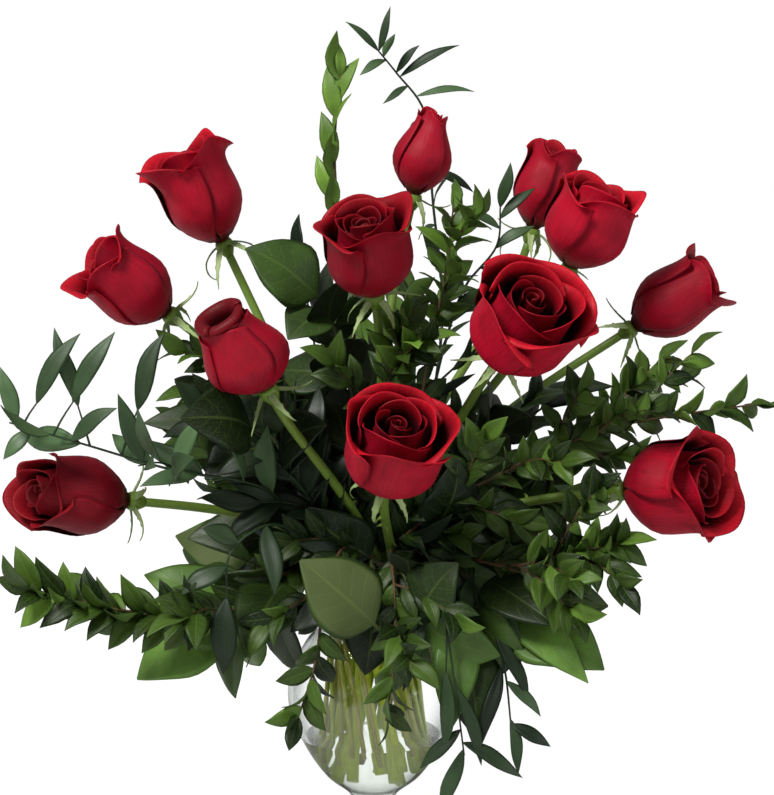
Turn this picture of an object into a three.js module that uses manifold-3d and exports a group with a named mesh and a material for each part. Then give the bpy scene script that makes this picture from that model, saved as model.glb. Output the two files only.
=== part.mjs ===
// A dozen red roses with ruscus, huckleberry and salal greenery, standing in a footed glass vase.
// Millimetres, +Z up. The origin is the centre of the vase's foot, on the surface that it stands on,
// and the front of the arrangement looks along -Y.
import * as THREE from "three";
import { mergeVertices } from "three/addons/utils/BufferGeometryUtils.js";
import Module from "manifold-3d";

const wasm = await Module();
wasm.setup();

// ---------------------------------------------------------------------------------------------
// Driving dimensions
// ---------------------------------------------------------------------------------------------

// Vase: [radius, height] up the outside and down the inside of the glass.
const VASE_SIDES = 18;
const VASE_OUTSIDE = [
  [0, 0], [36, 0], [36, 3], [18, 12], [12, 21], [15, 28.5], [30, 41],
  [45, 63.5], [53, 85], [52.5, 104], [42, 126], [34, 137], [34, 147], [42, 165],
];
const VASE_INSIDE = [
  [39.5, 165], [31.6, 147.5], [31.6, 137.5], [39.6, 124.5], [49.6, 103], [50, 86],
  [42.4, 65.5], [27.5, 44], [13, 34], [0, 32],
];
const WATER_LEVEL = 67;
const WATER_GAP = 0.35;
const GLASS_SLOPE_AT_WATER = 0.47;

// Every stem runs straight from its cut end, past a place on a ring in the vase's neck, and leans
// the same way as the others of its ring, so that no two of them cross inside the vase.
const NECK_HEIGHT = 140;
const RINGS = {
  heart: { radius: 7, lean: 0.16, cutHeight: 44 },
  roses: { radius: 15.2, lean: 0.23, cutHeight: 50 },
  leaves: { radius: 21.8, lean: 0.25, cutHeight: 55 },
  rim: { radius: 26.6, lean: 0.27, cutHeight: 61 },
};

const ROSE_STEM_RADIUS = 3.2;
const ROSE_STEM_SIDES = 5;
const ROSE_STEM_STEPS = 5;
const HIP_LENGTH = 10;
const SEAT_GAP = 0.3;
const HIP_OUTLINE = [
  [0, -HIP_LENGTH], [3.6, -HIP_LENGTH], [6.4, -4], [5.4, -SEAT_GAP], [0, -SEAT_GAP],
];
const SEPALS = 5;
const SEPAL = {
  length: 25, root: [3, -3], rows: [[0, 0], [0.3, 3.2], [1, 0]], fold: 0.1, droop: 0.03, thick: 1,
};
const PETAL_THICKNESS = 1.5;
const TWIG_SIDES = 3;

// Roses: where the bloom sits on its hip, the middle of its mouth, its radius at the belly, how far
// it has opened (0 bud, 1 full), the turn of its petals, and its stem's ring and bearing in degrees.
const ROSES = [
  { name: "upper_left", base: [-97, 60, 374], mouth: [-125, 45, 437], radius: 25, open: 0.55, turn: 0.3,
    ring: "roses", bearing: 136 },
  { name: "left", base: [-128, 10, 331], mouth: [-176, -10, 370], radius: 24, open: 0.4, turn: 1.1,
    ring: "roses", bearing: 166 },
  { name: "left_bud", base: [-61, -95, 295], mouth: [-85, -115, 342], radius: 25.5, open: 0.08, turn: 2.0,
    ring: "roses", bearing: 232 },
  { name: "centre", base: [1, -50, 347], mouth: [-6, -80, 399], radius: 26, open: 0.5, turn: 0.6,
    ring: "heart", bearing: 262 },
  { name: "top_bud", base: [26, 65, 404], mouth: [39, 60, 460], radius: 19.5, open: 0, turn: 1.7,
    ring: "heart", bearing: 75 },
  { name: "back_bud", base: [105, 105, 381], mouth: [122, 100, 440], radius: 20, open: 0.15, turn: 0.9,
    ring: "roses", bearing: 40 },
  { name: "upper_right", base: [125, 40, 359], mouth: [145, 22, 414], radius: 27, open: 0.45, turn: 2.6,
    ring: "heart", bearing: 8 },
  { name: "open_right", base: [76, -66, 311], mouth: [100, -110, 352], radius: 31, open: 0.95, turn: 0.2,
    ring: "roses", bearing: 300 },
  { name: "right", base: [169, 70, 318], mouth: [224, 60, 356], radius: 23, open: 0.3, turn: 1.4,
    ring: "roses", bearing: 8 },
  { name: "front", base: [9, -92, 240], mouth: [17, -136, 285], radius: 29, open: 0.8, turn: 2.9,
    ring: "roses", bearing: 266 },
  { name: "far_left", base: [-147, -50, 222], mouth: [-211, -74, 232], radius: 24, open: 0.3, turn: 0.5,
    ring: "roses", bearing: 201 },
  { name: "lower_right", base: [152, -50, 228], mouth: [208, -84, 238], radius: 28, open: 0.7, turn: 2.2,
    ring: "roses", bearing: 336 },
];

// Leaf kinds: length and half width, the outline as [share of length, share of half width], how
// deeply the blade folds along its rib, how much it droops, its thickness, and how it leaves the
// twig: its angle to it, and the turn about the twig from each leaf to the next.
const KINDS = {
  ruscus: {
    length: 38, halfWidth: 6.6, outline: [[0, 0], [0.3, 0.86], [0.66, 0.9], [1, 0]],
    fold: 0.18, droop: 0.1, thick: 0.9, angle: 0.75, turn: 2.75, stem: [1.5, 0.8], colour: 0x2f4a2c,
  },
  huckleberry: {
    length: 21, halfWidth: 5.2, outline: [[0, 0], [0.42, 1], [1, 0]],
    fold: 0.25, droop: 0.12, thick: 0.9, angle: 0.85, turn: 2.4, stem: [1.6, 0.8], colour: 0x2a4a1c,
  },
  salal: {
    length: 66, halfWidth: 23, outline: [[0, 0], [0.16, 0.06], [0.36, 0.97], [0.7, 0.8], [1, 0]],
    fold: 0.16, droop: 0.12, thick: 1.2, angle: 0.9, turn: 2.2, stem: [1.7, 1.1], colour: 0x3c5c26,
  },
};

// Sprays: the kind of leaf, the stem's ring and bearing, the points that its stem passes above the
// neck, and its leaves: "count" are set along it by rule, from the share "from" of its length up,
// and "tips" are set one by one, as [share along the stem, x, y, z of the leaf's tip, half width].
const SPRAYS = [
  // Salal: big leaves low in the arrangement, and a few that stand up behind the roses.
  { name: "salal_upper_left", kind: "salal", ring: "leaves", bearing: 97,
    via: [[-12, 14, 265], [-24, 16, 314], [-32, 16, 339]],
    tips: [[1, -79, 6, 371, 23], [0.92, -52, -14, 316, 17], [0.8, 2, 26, 352, 17],
      [0.6, -62, 46, 292, 20]] },
  { name: "salal_left", kind: "salal", ring: "leaves", bearing: 200,
    via: [[-34, -20, 205], [-56, -28, 249], [-70, -26, 270]],
    tips: [[1, -138, -44, 268, 14], [0.8, -100, -58, 236, 20], [0.6, -92, -8, 190, 21]] },
  { name: "salal_front", kind: "salal", ring: "rim", bearing: 255,
    via: [[0, -42, 184], [3, -72, 172], [5, -94, 150]],
    tips: [[1, -42, -97, 194, 25], [0.75, -48, -78, 150, 14]] },
  { name: "salal_front_right", kind: "salal", ring: "rim", bearing: 270,
    via: [[15, -45, 186], [22, -72, 172], [27, -86, 158]],
    tips: [[1, 50, -100, 193, 19], [0.7, 18, -104, 196, 14]] },
  { name: "salal_right", kind: "salal", ring: "rim", bearing: 309,
    via: [[45, -22, 180], [66, -48, 168], [80, -62, 150]],
    tips: [[1, 136, -92, 128, 22], [0.8, 142, -52, 158, 22], [0.6, 108, -92, 156, 18]] },
  { name: "salal_low_left", kind: "salal", ring: "rim", bearing: 200,
    via: [[-36, -34, 182], [-62, -46, 164], [-82, -54, 150]],
    tips: [[1, -142, -84, 152, 22], [0.82, -134, -46, 130, 20], [0.6, -74, -86, 138, 20]] },
  { name: "salal_drop", kind: "salal", ring: "rim", bearing: 295,
    via: [[34, -38, 182], [50, -58, 172], [58, -68, 142]],
    tips: [[1, 64, -90, 84, 17], [0.85, 46, -92, 92, 14]] },
  { name: "salal_heart_right", kind: "salal", ring: "leaves", bearing: 301,
    via: [[28, -10, 190], [44, -18, 228]],
    tips: [[1, 84, -58, 262, 24], [0.75, 96, -8, 214, 22], [0.5, 60, -66, 214, 20]] },
  { name: "salal_back", kind: "salal", ring: "rim", bearing: 75,
    via: [[0, 40, 184], [-4, 70, 200], [-6, 92, 216]],
    tips: [[1, -10, 142, 254, 24], [0.8, -62, 108, 220, 22], [0.65, 50, 112, 196, 22]] },
  { name: "salal_back_right", kind: "salal", ring: "rim", bearing: 30,
    via: [[32, 30, 182], [58, 58, 186], [76, 78, 184]],
    tips: [[1, 132, 108, 204, 23], [0.8, 76, 134, 170, 22], [0.6, 116, 36, 172, 20]] },
  { name: "salal_back_left", kind: "salal", ring: "rim", bearing: 121,
    via: [[-32, 30, 182], [-58, 54, 180], [-74, 70, 172]],
    tips: [[1, -128, 100, 166, 23], [0.8, -70, 118, 148, 22], [0.6, -118, 26, 186, 20]] },
  // Ruscus: slender leaves, reaching up behind the top roses, out to the left and down at the right.
  { name: "ruscus_top", kind: "ruscus", ring: "leaves", bearing: 31,
    via: [[25, 46, 220], [45, 90, 320], [39, 112, 399], [33, 108, 458], [15, 100, 482], [2, 84, 497]],
    tips: [[1, -18, 78, 514, 5], [0.985, 11, 82, 524, 4.5], [0.95, 14, 90, 507, 4.5],
      [0.93, -9, 84, 480, 5.5],
      [0.86, 30, 98, 500, 5], [0.84, 56, 98, 500, 6], [0.8, 6, 96, 462, 4.5], [0.76, 66, 104, 470, 5],
      [0.7, 22, 124, 440, 6], [0.62, 66, 110, 404, 6], [0.54, 30, 130, 372, 6]] },
  { name: "ruscus_top_right", kind: "ruscus", ring: "leaves", bearing: 12,
    via: [[30, 20, 250], [46, 28, 313], [58, 32, 346], [78, 34, 372], [80, 32, 398]],
    tips: [[1, 86, 28, 424, 5.5], [0.94, 102, 34, 408, 5], [0.9, 58, 38, 396, 4.5],
      [0.82, 102, 36, 384, 5.5],
      [0.74, 94, 28, 354, 5], [0.66, 38, 34, 370, 4.5], [0.58, 82, 44, 336, 5.5]] },
  { name: "ruscus_left", kind: "ruscus", ring: "rim", bearing: 215,
    via: [[-44, -30, 206], [-66, -62, 232], [-117, -88, 246], [-167, -96, 262], [-209, -100, 275]],
    tips: [[1, -214, -98, 307, 5], [0.97, -168, -94, 326, 5.8], [0.9, -148, -94, 327, 6],
      [0.82, -184, -88, 329, 5],
      [0.76, -120, -88, 326, 6], [0.72, -146, -102, 292, 5.8], [0.95, -212, -104, 254, 5],
      [0.86, -146, -106, 284, 6],
      [0.66, -98, -92, 278, 6], [0.62, -134, -102, 238, 5.6], [0.54, -84, -104, 264, 5.6]] },
  { name: "ruscus_left_drop", kind: "ruscus", ring: "rim", bearing: 233,
    via: [[-30, -42, 193], [-62, -88, 213], [-82, -104, 199], [-84, -108, 172]],
    tips: [[1, -86, -112, 130, 8], [0.86, -110, -112, 176, 6.5], [0.74, -98, -104, 214, 6.5],
      [0.6, -56, -112, 176, 6.5]] },
  { name: "ruscus_left_heart", kind: "ruscus", ring: "leaves", bearing: 212,
    via: [[-23, -31, 200], [-49, -55, 238], [-75, -67, 262], [-100, -70, 276]],
    tips: [[1, -116, -74, 296, 6.5], [0.92, -124, -66, 262, 6.5], [0.84, -72, -72, 286, 6.5],
      [0.7, -92, -84, 240, 6.5], [0.6, -38, -70, 252, 6.5]] },
  { name: "ruscus_drop_right", kind: "ruscus", ring: "rim", bearing: 281,
    via: [[43, -34, 182], [63, -64, 170], [77, -84, 132], [82, -90, 92]],
    tips: [[1, 105, -92, 82, 6], [0.97, 86, -94, 66, 5], [0.86, 99, -92, 100, 5],
      [0.8, 64, -98, 84, 6.5],
      [0.7, 92, -90, 108, 6], [0.6, 88, -84, 142, 6]] },
  { name: "ruscus_drop", kind: "ruscus", ring: "leaves", bearing: 285,
    via: [[24, -44, 196], [38, -74, 182], [47, -94, 130], [54, -97, 78]],
    tips: [[1, 42, -94, 42, 6.5], [0.97, 88, -96, 66, 6.5], [0.94, 28, -96, 70, 6],
      [0.82, 64, -98, 72, 5.5],
      [0.72, 42, -98, 80, 6], [0.62, 18, -98, 112, 6]] },
  { name: "ruscus_back", kind: "ruscus", ring: "rim", bearing: 96,
    via: [[-12, 44, 200], [-30, 84, 260], [-42, 104, 318], [-48, 110, 362]],
    from: 0.45, count: 6 },
  { name: "ruscus_back_right", kind: "ruscus", ring: "rim", bearing: 15,
    via: [[38, 20, 184], [88, 54, 204], [136, 90, 238], [170, 112, 262]],
    from: 0.4, count: 6 },
  { name: "ruscus_back_low", kind: "ruscus", ring: "rim", bearing: 55,
    via: [[14, 46, 186], [24, 84, 182], [34, 112, 150], [38, 122, 112]],
    from: 0.5, count: 5 },
  // Huckleberry: small leaves, close along brown twigs.
  { name: "huckleberry_top_left", kind: "huckleberry", ring: "leaves", bearing: 75,
    via: [[-3, 28, 250], [-13, 40, 318], [-21, 36, 382], [-24, 31, 432], [-20, 27, 482]],
    from: 0.55, count: 10, angle: 0.45 },
  { name: "huckleberry_centre_top", kind: "huckleberry", ring: "leaves", bearing: 325,
    via: [[26, 6, 250], [38, 12, 320], [46, 14, 360], [50, 14, 398]],
    from: 0.42, count: 8 },
  { name: "huckleberry_centre", kind: "huckleberry", ring: "leaves", bearing: 271,
    via: [[4, -26, 210], [6, -30, 262], [12, -36, 306], [18, -42, 330]],
    from: 0.4, count: 8 },
  { name: "huckleberry_right_long", kind: "huckleberry", ring: "leaves", bearing: 340,
    via: [[22, -34, 200], [88, -50, 244], [147, -58, 268], [234, -58, 282]],
    from: 0.34, count: 13 },
  { name: "huckleberry_right", kind: "huckleberry", ring: "rim", bearing: 359,
    via: [[44, 8, 184], [100, 20, 218], [146, 22, 266], [182, 20, 302]],
    from: 0.4, count: 9 },
  { name: "huckleberry_low_right", kind: "huckleberry", ring: "rim", bearing: 325,
    via: [[41, -24, 184], [83, -80, 188], [117, -96, 198], [144, -106, 206]],
    from: 0.42, count: 9 },
  { name: "huckleberry_low_left", kind: "huckleberry", ring: "rim", bearing: 183,
    via: [[-38, -28, 179], [-88, -88, 161], [-142, -101, 165], [-200, -112, 181]],
    from: 0.36, count: 12 },
  { name: "huckleberry_drop_left", kind: "huckleberry", ring: "leaves", bearing: 238,
    via: [[-14, -44, 194], [-26, -74, 178], [-34, -90, 130], [-44, -94, 98]],
    from: 0.5, count: 7 },
  { name: "huckleberry_drop", kind: "huckleberry", ring: "rim", bearing: 244,
    via: [[11, -43, 190], [13, -76, 173], [13, -92, 135], [8, -94, 98]],
    from: 0.52, count: 6 },
  { name: "huckleberry_left", kind: "huckleberry", ring: "leaves", bearing: 144,
    via: [[-37, 14, 220], [-67, 24, 270], [-84, 30, 306]],
    from: 0.4, count: 7 },
  { name: "huckleberry_back", kind: "huckleberry", ring: "leaves", bearing: 42,
    via: [[4, 46, 230], [14, 82, 290], [22, 104, 340]],
    from: 0.4, count: 8 },
  { name: "huckleberry_back_left", kind: "huckleberry", ring: "rim", bearing: 133,
    via: [[-44, 28, 196], [-92, 66, 222], [-132, 88, 254]],
    from: 0.4, count: 8 },
];

const finish = (color, roughness) => new THREE.MeshStandardMaterial({ color, roughness, metalness: 0 });
const LEAF_ROUGHNESS = 0.45;
const MATERIALS = {
  glass: finish(0xe4ece8, 0.05),
  water: finish(0xdfe8dc, 0.03),
  petals: finish(0xa30c1c, 0.6),
  roseStem: finish(0x6f8f3a, 0.55),
};
for (const [name, kind] of Object.entries(KINDS)) {
  MATERIALS[name] = finish(kind.colour, LEAF_ROUGHNESS);
}

// ---------------------------------------------------------------------------------------------
// Solids
// ---------------------------------------------------------------------------------------------

const vec = (xyz) => new THREE.Vector3(...xyz);

// A closed surface, given as points and triangles that turn counterclockwise seen from outside.
function solidOf(points, triangles) {
  const vertProperties = new Float32Array(points.flatMap((p) => [p.x, p.y, p.z]));
  const triVerts = new Uint32Array(triangles.flat());
  return new wasm.Manifold(new wasm.Mesh({ numProp: 3, vertProperties, triVerts }));
}

function solidOfGeometry(geometry) {
  geometry.deleteAttribute("normal");
  geometry.deleteAttribute("uv");
  const merged = mergeVertices(geometry, 1e-3);
  const vertProperties = new Float32Array(merged.attributes.position.array);
  const triVerts = new Uint32Array(merged.index.array);
  return new wasm.Manifold(new wasm.Mesh({ numProp: 3, vertProperties, triVerts }));
}

// A solid of revolution about +Z from [radius, height] points, which run up its outside.
function turned(outline, sides) {
  const profile = outline.map(([radius, height]) => new THREE.Vector2(radius, height));
  return solidOfGeometry(new THREE.LatheGeometry(profile, sides).rotateX(Math.PI / 2));
}

// A round rod through points, with a radius at each.
function rod(points, radii, sides) {
  const rings = [];
  const along = new THREE.Vector3();
  let across = null;
  points.forEach((point, i) => {
    const before = points[Math.max(i - 1, 0)];
    const after = points[Math.min(i + 1, points.length - 1)];
    along.subVectors(after, before).normalize();
    across ??= new THREE.Vector3(0, 0, 1).cross(along).normalize();
    across.addScaledVector(along, -across.dot(along)).normalize();
    const up = new THREE.Vector3().crossVectors(along, across);
    for (let k = 0; k < sides; k++) {
      const a = (2 * Math.PI * k) / sides;
      rings.push(point.clone()
        .addScaledVector(across, radii[i] * Math.cos(a))
        .addScaledVector(up, radii[i] * Math.sin(a)));
    }
  });
  const triangles = [];
  const last = (points.length - 1) * sides;
  for (let k = 0; k < sides; k++) {
    const next = (k + 1) % sides;
    for (let ring = 0; ring < last; ring += sides) {
      triangles.push([ring + k, ring + next, ring + sides + next]);
      triangles.push([ring + k, ring + sides + next, ring + sides + k]);
    }
    if (k > 0 && next > 0) {
      triangles.push([0, next, k], [last, last + k, last + next]);
    }
  }
  return solidOf(rings, triangles);
}

// A thin blade from foot to tip, facing "face", folded along its rib and bent back towards its tip.
// It is thickest at the rib and runs out to an edge. Rows are [share of length, half width].
function blade({ foot, tip, face, rows, fold, droop, thick }) {
  const along = new THREE.Vector3().subVectors(tip, foot);
  const length = along.length();
  along.normalize();
  const up = face.clone().addScaledVector(along, -face.dot(along)).normalize();
  const right = new THREE.Vector3().crossVectors(along, up);
  const place = (share, sideways, height) => foot.clone()
    .addScaledVector(along, share * length)
    .addScaledVector(right, sideways)
    .addScaledVector(up, height + 4 * droop * length * share * (1 - share));
  const points = [foot.clone(), tip.clone()];
  const inner = rows.slice(1, -1);
  for (const [share, halfWidth] of inner) {
    points.push(
      place(share, -halfWidth, fold * halfWidth), place(share, halfWidth, fold * halfWidth),
      place(share, 0, thick / 2), place(share, 0, -thick / 2),
    );
  }
  const triangles = [];
  const half = (edge, rib, turn) => {
    const add = (a, b, c) => triangles.push(turn ? [a, c, b] : [a, b, c]);
    const at = (row, item) => 2 + 4 * row + item;
    const end = inner.length - 1;
    add(0, at(0, rib), at(0, edge));
    for (let row = 0; row < end; row++) {
      add(at(row, rib), at(row + 1, rib), at(row + 1, edge));
      add(at(row, rib), at(row + 1, edge), at(row, edge));
    }
    add(at(end, rib), 1, at(end, edge));
  };
  half(0, 2, false);
  half(1, 2, true);
  half(0, 3, true);
  half(1, 3, false);
  return solidOf(points, triangles);
}

// A petal: a thin shell over surface(u, v), u from -1 to 1 across it and v from 0 at its foot,
// where it comes to a point, to 1 at its rim. Its edges are sharp and its middle is "thick".
function shell(surface, columns, rows, thick) {
  const points = [surface(0, 0)];
  const outer = [];
  const inner = [];
  for (const v of rows) {
    const outerRow = [];
    const innerRow = [];
    for (let column = 0; column <= columns; column++) {
      const u = (2 * column) / columns - 1;
      const point = surface(u, v);
      const onEdge = column === 0 || column === columns || v === 1;
      if (onEdge) {
        outerRow.push(points.push(point) - 1);
        innerRow.push(points.length - 1);
      } else {
        const across = surface(u + 0.05, v).sub(surface(u - 0.05, v));
        const normal = across.cross(surface(u, v + 0.03).sub(surface(u, v - 0.03))).normalize();
        outerRow.push(points.push(point.clone().addScaledVector(normal, thick / 2)) - 1);
        innerRow.push(points.push(point.clone().addScaledVector(normal, -thick / 2)) - 1);
      }
    }
    outer.push(outerRow);
    inner.push(innerRow);
  }
  const triangles = [];
  const cover = (grid, turn) => {
    const add = (a, b, c) => triangles.push(turn ? [a, c, b] : [a, b, c]);
    for (let column = 0; column < columns; column++) {
      add(0, grid[0][column + 1], grid[0][column]);
      for (let row = 0; row + 1 < grid.length; row++) {
        const [a, b] = [grid[row][column], grid[row][column + 1]];
        const [c, d] = [grid[row + 1][column + 1], grid[row + 1][column]];
        add(a, b, c);
        add(a, c, d);
      }
    }
  };
  cover(outer, false);
  cover(inner, true);
  return solidOf(points, triangles);
}

function meshOf(name, solid, material) {
  const mesh = solid.getMesh();
  const positions = new Float32Array(mesh.numVert * 3);
  for (let i = 0; i < mesh.numVert; i++) {
    positions.set(mesh.vertProperties.subarray(i * mesh.numProp, i * mesh.numProp + 3), i * 3);
  }
  const geometry = new THREE.BufferGeometry();
  geometry.setAttribute("position", new THREE.BufferAttribute(positions, 3));
  geometry.setIndex(new THREE.BufferAttribute(mesh.triVerts, 1));
  geometry.computeVertexNormals();
  const made = new THREE.Mesh(geometry, material);
  made.name = name;
  return made;
}

// ---------------------------------------------------------------------------------------------
// What is placed, and the test that a new piece stays clear of it
// ---------------------------------------------------------------------------------------------

const arrangement = new THREE.Group();
const obstacles = [];
const CLEARANCE = 0.35;

function boxesMeet(a, b, gap) {
  return [0, 1, 2].every((k) => a.min[k] - gap < b.max[k] && b.min[k] - gap < a.max[k]);
}

function isClear(solid, owner) {
  const box = solid.boundingBox();
  return obstacles.every((other) => other.owner === owner || !boxesMeet(box, other.box, CLEARANCE)
    || solid.minGap(other.solid, 2 * CLEARANCE) > CLEARANCE);
}

function occupy(owner, solid) {
  obstacles.push({ owner, solid, box: solid.boundingBox() });
}

function place(name, solid, material) {
  arrangement.add(meshOf(name, solid, material));
}

// ---------------------------------------------------------------------------------------------
// Stems
// ---------------------------------------------------------------------------------------------

// The straight foot of a stem: its cut end, its place in the neck, and its direction.
function stemFoot(ringName, bearing) {
  const ring = RINGS[ringName];
  const angle = THREE.MathUtils.degToRad(bearing);
  const outward = new THREE.Vector3(Math.cos(angle), Math.sin(angle), 0);
  const beside = new THREE.Vector3(-outward.y, outward.x, 0);
  const neck = beside.multiplyScalar(ring.radius).setZ(NECK_HEIGHT);
  const direction = outward.multiplyScalar(ring.lean).setZ(1);
  const cut = neck.clone().addScaledVector(direction, ring.cutHeight - NECK_HEIGHT);
  return { cut, neck, direction: direction.normalize() };
}

const stemHoles = [];

function drillWater({ cut, direction }, radius, sides) {
  const start = cut.clone().addScaledVector(direction, -WATER_GAP);
  const end = cut.clone().addScaledVector(direction, WATER_LEVEL + 10 - cut.z);
  const width = radius + WATER_GAP / Math.cos(Math.PI / sides);
  stemHoles.push(rod([start, end], [width, width], sides));
}

// ---------------------------------------------------------------------------------------------
// Roses
// ---------------------------------------------------------------------------------------------

// The bloom's own frame: +Z runs from its hip to its mouth.
function bloomFrame(rose) {
  const axis = vec(rose.mouth).sub(vec(rose.base));
  const height = axis.length();
  axis.normalize();
  const across = new THREE.Vector3(0, 0, 1).cross(axis).normalize();
  const frame = new THREE.Matrix4().makeBasis(across, axis.clone().cross(across), axis);
  return { axis, height, frame: frame.setPosition(vec(rose.base)) };
}

const smooth = (x) => x * x * (3 - 2 * x);
const above = (x, start) => Math.max(0, (x - start) / (1 - start));

// The surface of one petal: it leaves the bloom's foot, swells to the belly, and then closes or
// opens to the mouth, where its rim rolls back by "flare". One side edge lies outside the next petal.
function petalSurface({ turn, halfAngle, radius, height, mouth, flare }) {
  return (u, v) => {
    const spread = halfAngle * (0.4 + 0.6 * Math.sin(Math.min(1, v / 0.6) * Math.PI / 2));
    const angle = turn + u * spread;
    const belly = Math.sin(Math.min(1, v / 0.42) * Math.PI / 2);
    const lip = flare * above(v, 0.68) ** 1.6 * (1 - 0.5 * u * u);
    const out = radius * belly * (1 + (mouth - 1) * smooth(above(v, 0.42)) + 0.11 * u * v) + lip;
    const rise = height * v * (1 - 0.11 * u * u * v) - 0.3 * lip;
    return new THREE.Vector3(out * Math.cos(angle), out * Math.sin(angle), rise);
  };
}

// Layers of petals, from the heart out: shares of the bloom's radius and height, the mouth's share
// of the petal's own radius in a shut bud and in a wide bloom, and how far each petal's rim flares.
const PETAL_LAYERS = [
  { radius: 0.48, height: 0.93, halfAngle: 1.5, shut: 0.42, wide: 0.78, twist: 0.4, flares: [0, 0],
    columns: 2, rows: [0.5, 1] },
  { radius: 0.74, height: 0.98, halfAngle: 1.1, shut: 0.5, wide: 0.96, twist: 1.3, flares: [2, 1, 3],
    columns: 3, rows: [0.5, 1] },
  { radius: 0.96, height: 0.94, halfAngle: 0.96, shut: 0.6, wide: 1.1, twist: 0, flares: [11, 4, 8, 3],
    columns: 4, rows: [0.36, 0.7, 1] },
];

// The core that carries the petals: its foot in millimetres, and then shares of the bloom's radius
// and height. An open bloom's core is lower.
const CORE_FOOT = [[0, 0], [5, 0]];
const CORE = [[0.6, 0.07], [0.84, 0.21], [0.3, 0.7], [0, 0.86]];
const CORE_SIDES = 5;
const CORE_SINKS = 0.1;

function bloomSolid(rose) {
  const { height, frame } = bloomFrame(rose);
  const coreHeight = height * (1 - CORE_SINKS * rose.open);
  const core = CORE.map(([radius, share]) => [radius * rose.radius, share * coreHeight]);
  const parts = [turned([...CORE_FOOT, ...core], CORE_SIDES)];
  for (const layer of PETAL_LAYERS) {
    layer.flares.forEach((flare, i) => {
      const surface = petalSurface({
        turn: rose.turn + layer.twist + (2 * Math.PI * i) / layer.flares.length,
        halfAngle: layer.halfAngle,
        radius: layer.radius * rose.radius,
        height: layer.height * height * (1 - 0.04 * (i % 2)),
        mouth: THREE.MathUtils.lerp(layer.shut, layer.wide, rose.open),
        flare: flare * (0.2 + 0.8 * rose.open),
      });
      parts.push(shell(surface, layer.columns, layer.rows, PETAL_THICKNESS));
    });
  }
  return wasm.Manifold.union(parts).transform(frame.elements);
}

function roseStemSolid(rose, foot) {
  const { axis, height, frame } = bloomFrame(rose);
  const base = vec(rose.base);
  const reach = base.distanceTo(foot.neck);
  const top = base.clone().addScaledVector(axis, -HIP_LENGTH + 1);
  const curve = new THREE.CubicBezierCurve3(
    foot.neck,
    foot.neck.clone().addScaledVector(foot.direction, 0.4 * reach),
    base.clone().addScaledVector(axis, -0.3 * reach),
    top,
  );
  const points = [foot.cut, ...curve.getPoints(ROSE_STEM_STEPS)];
  const stem = rod(points, points.map(() => ROSE_STEM_RADIUS), ROSE_STEM_SIDES);
  const parts = [stem, turned(HIP_OUTLINE, ROSE_STEM_SIDES).transform(frame.elements)];
  const [rootRadius, rootHeight] = SEPAL.root;
  for (let i = 0; i < SEPALS; i++) {
    const angle = rose.turn + (2 * Math.PI * i) / SEPALS;
    const fall = -0.25 - 0.5 * ((i * 2) % SEPALS) / SEPALS;
    const outward = new THREE.Vector3(Math.cos(angle), Math.sin(angle), 0);
    const root = outward.clone().multiplyScalar(rootRadius).setZ(rootHeight);
    const tip = outward.clone().multiplyScalar(SEPAL.length * Math.cos(fall));
    tip.setZ(rootHeight + 1 + SEPAL.length * Math.sin(fall));
    const sepal = blade({ ...SEPAL, foot: root, tip, face: new THREE.Vector3(0, 0, 1) });
    parts.push(sepal.transform(frame.elements));
  }
  return wasm.Manifold.union(parts);
}

// ---------------------------------------------------------------------------------------------
// Sprays of leaves
// ---------------------------------------------------------------------------------------------

const STEM_STEPS = 6;
const STRAIGHT_ABOVE_NECK = 22;

// How far up its stem the topmost leaf starts, just short of the end, and its angle to the stem.
const TOP_SHARE = 0.985;
const TOP_ANGLE = 0.15;

// The point and the direction at a share of the length of a line drawn through points.
function alongLine(points, share) {
  const steps = points.length - 1;
  const step = Math.min(Math.floor(share * steps), steps - 1);
  return {
    point: points[step].clone().lerp(points[step + 1], share * steps - step),
    tangent: points[step + 1].clone().sub(points[step]).normalize(),
  };
}

// A spray's stem: it runs on straight above the neck, and then passes the spray's own points.
function sprayStem(spray, foot) {
  const start = foot.neck.clone().addScaledVector(foot.direction, STRAIGHT_ABOVE_NECK);
  const curve = new THREE.CatmullRomCurve3([foot.neck, start, ...spray.via.map(vec)]);
  const line = curve.getPoints(STEM_STEPS);
  const [thick, thin] = KINDS[spray.kind].stem;
  const radii = line.map((_, i) => THREE.MathUtils.lerp(thick, thin, i / STEM_STEPS));
  return { line, solid: rod([foot.cut, ...line], [thick, ...radii], TWIG_SIDES) };
}

// A leaf set by rule: it leaves the stem at an angle, turned about it by "roll". Its size varies a
// little from leaf to leaf, and falls off towards the stem's end.
function ruledLeaf(spray, line, index, roll) {
  const kind = KINDS[spray.kind];
  const last = index === spray.count - 1;
  const share = last ? TOP_SHARE : spray.from + (1 - spray.from) * ((index + 0.5) / spray.count);
  const { point, tangent: along } = alongLine(line, share);
  const side = new THREE.Vector3(0, 1, 0).cross(along).normalize();
  const outward = side.applyAxisAngle(along, index * kind.turn + roll);
  const angle = last ? TOP_ANGLE : (spray.angle ?? kind.angle);
  const [cos, sin] = [Math.cos(angle), Math.sin(angle)];
  const direction = along.clone().multiplyScalar(cos).addScaledVector(outward, sin);
  const face = along.clone().multiplyScalar(sin).addScaledVector(outward, -cos);
  const size = 0.86 + 0.28 * ((index * 0.618) % 1) - 0.2 * Math.max(0, share - 0.8);
  const tip = point.clone().addScaledVector(direction, kind.length * size);
  return { foot: point, tip, face, halfWidth: kind.halfWidth * size };
}

// A leaf set by its tip: it turns its face to the front and up.
function chosenLeaf(line, [share, x, y, z, halfWidth], lift) {
  const { point } = alongLine(line, Math.min(share, TOP_SHARE));
  const tip = new THREE.Vector3(x, y + lift, z);
  return { foot: point, tip, face: new THREE.Vector3(0, -0.8, 0.6), halfWidth };
}

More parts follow.
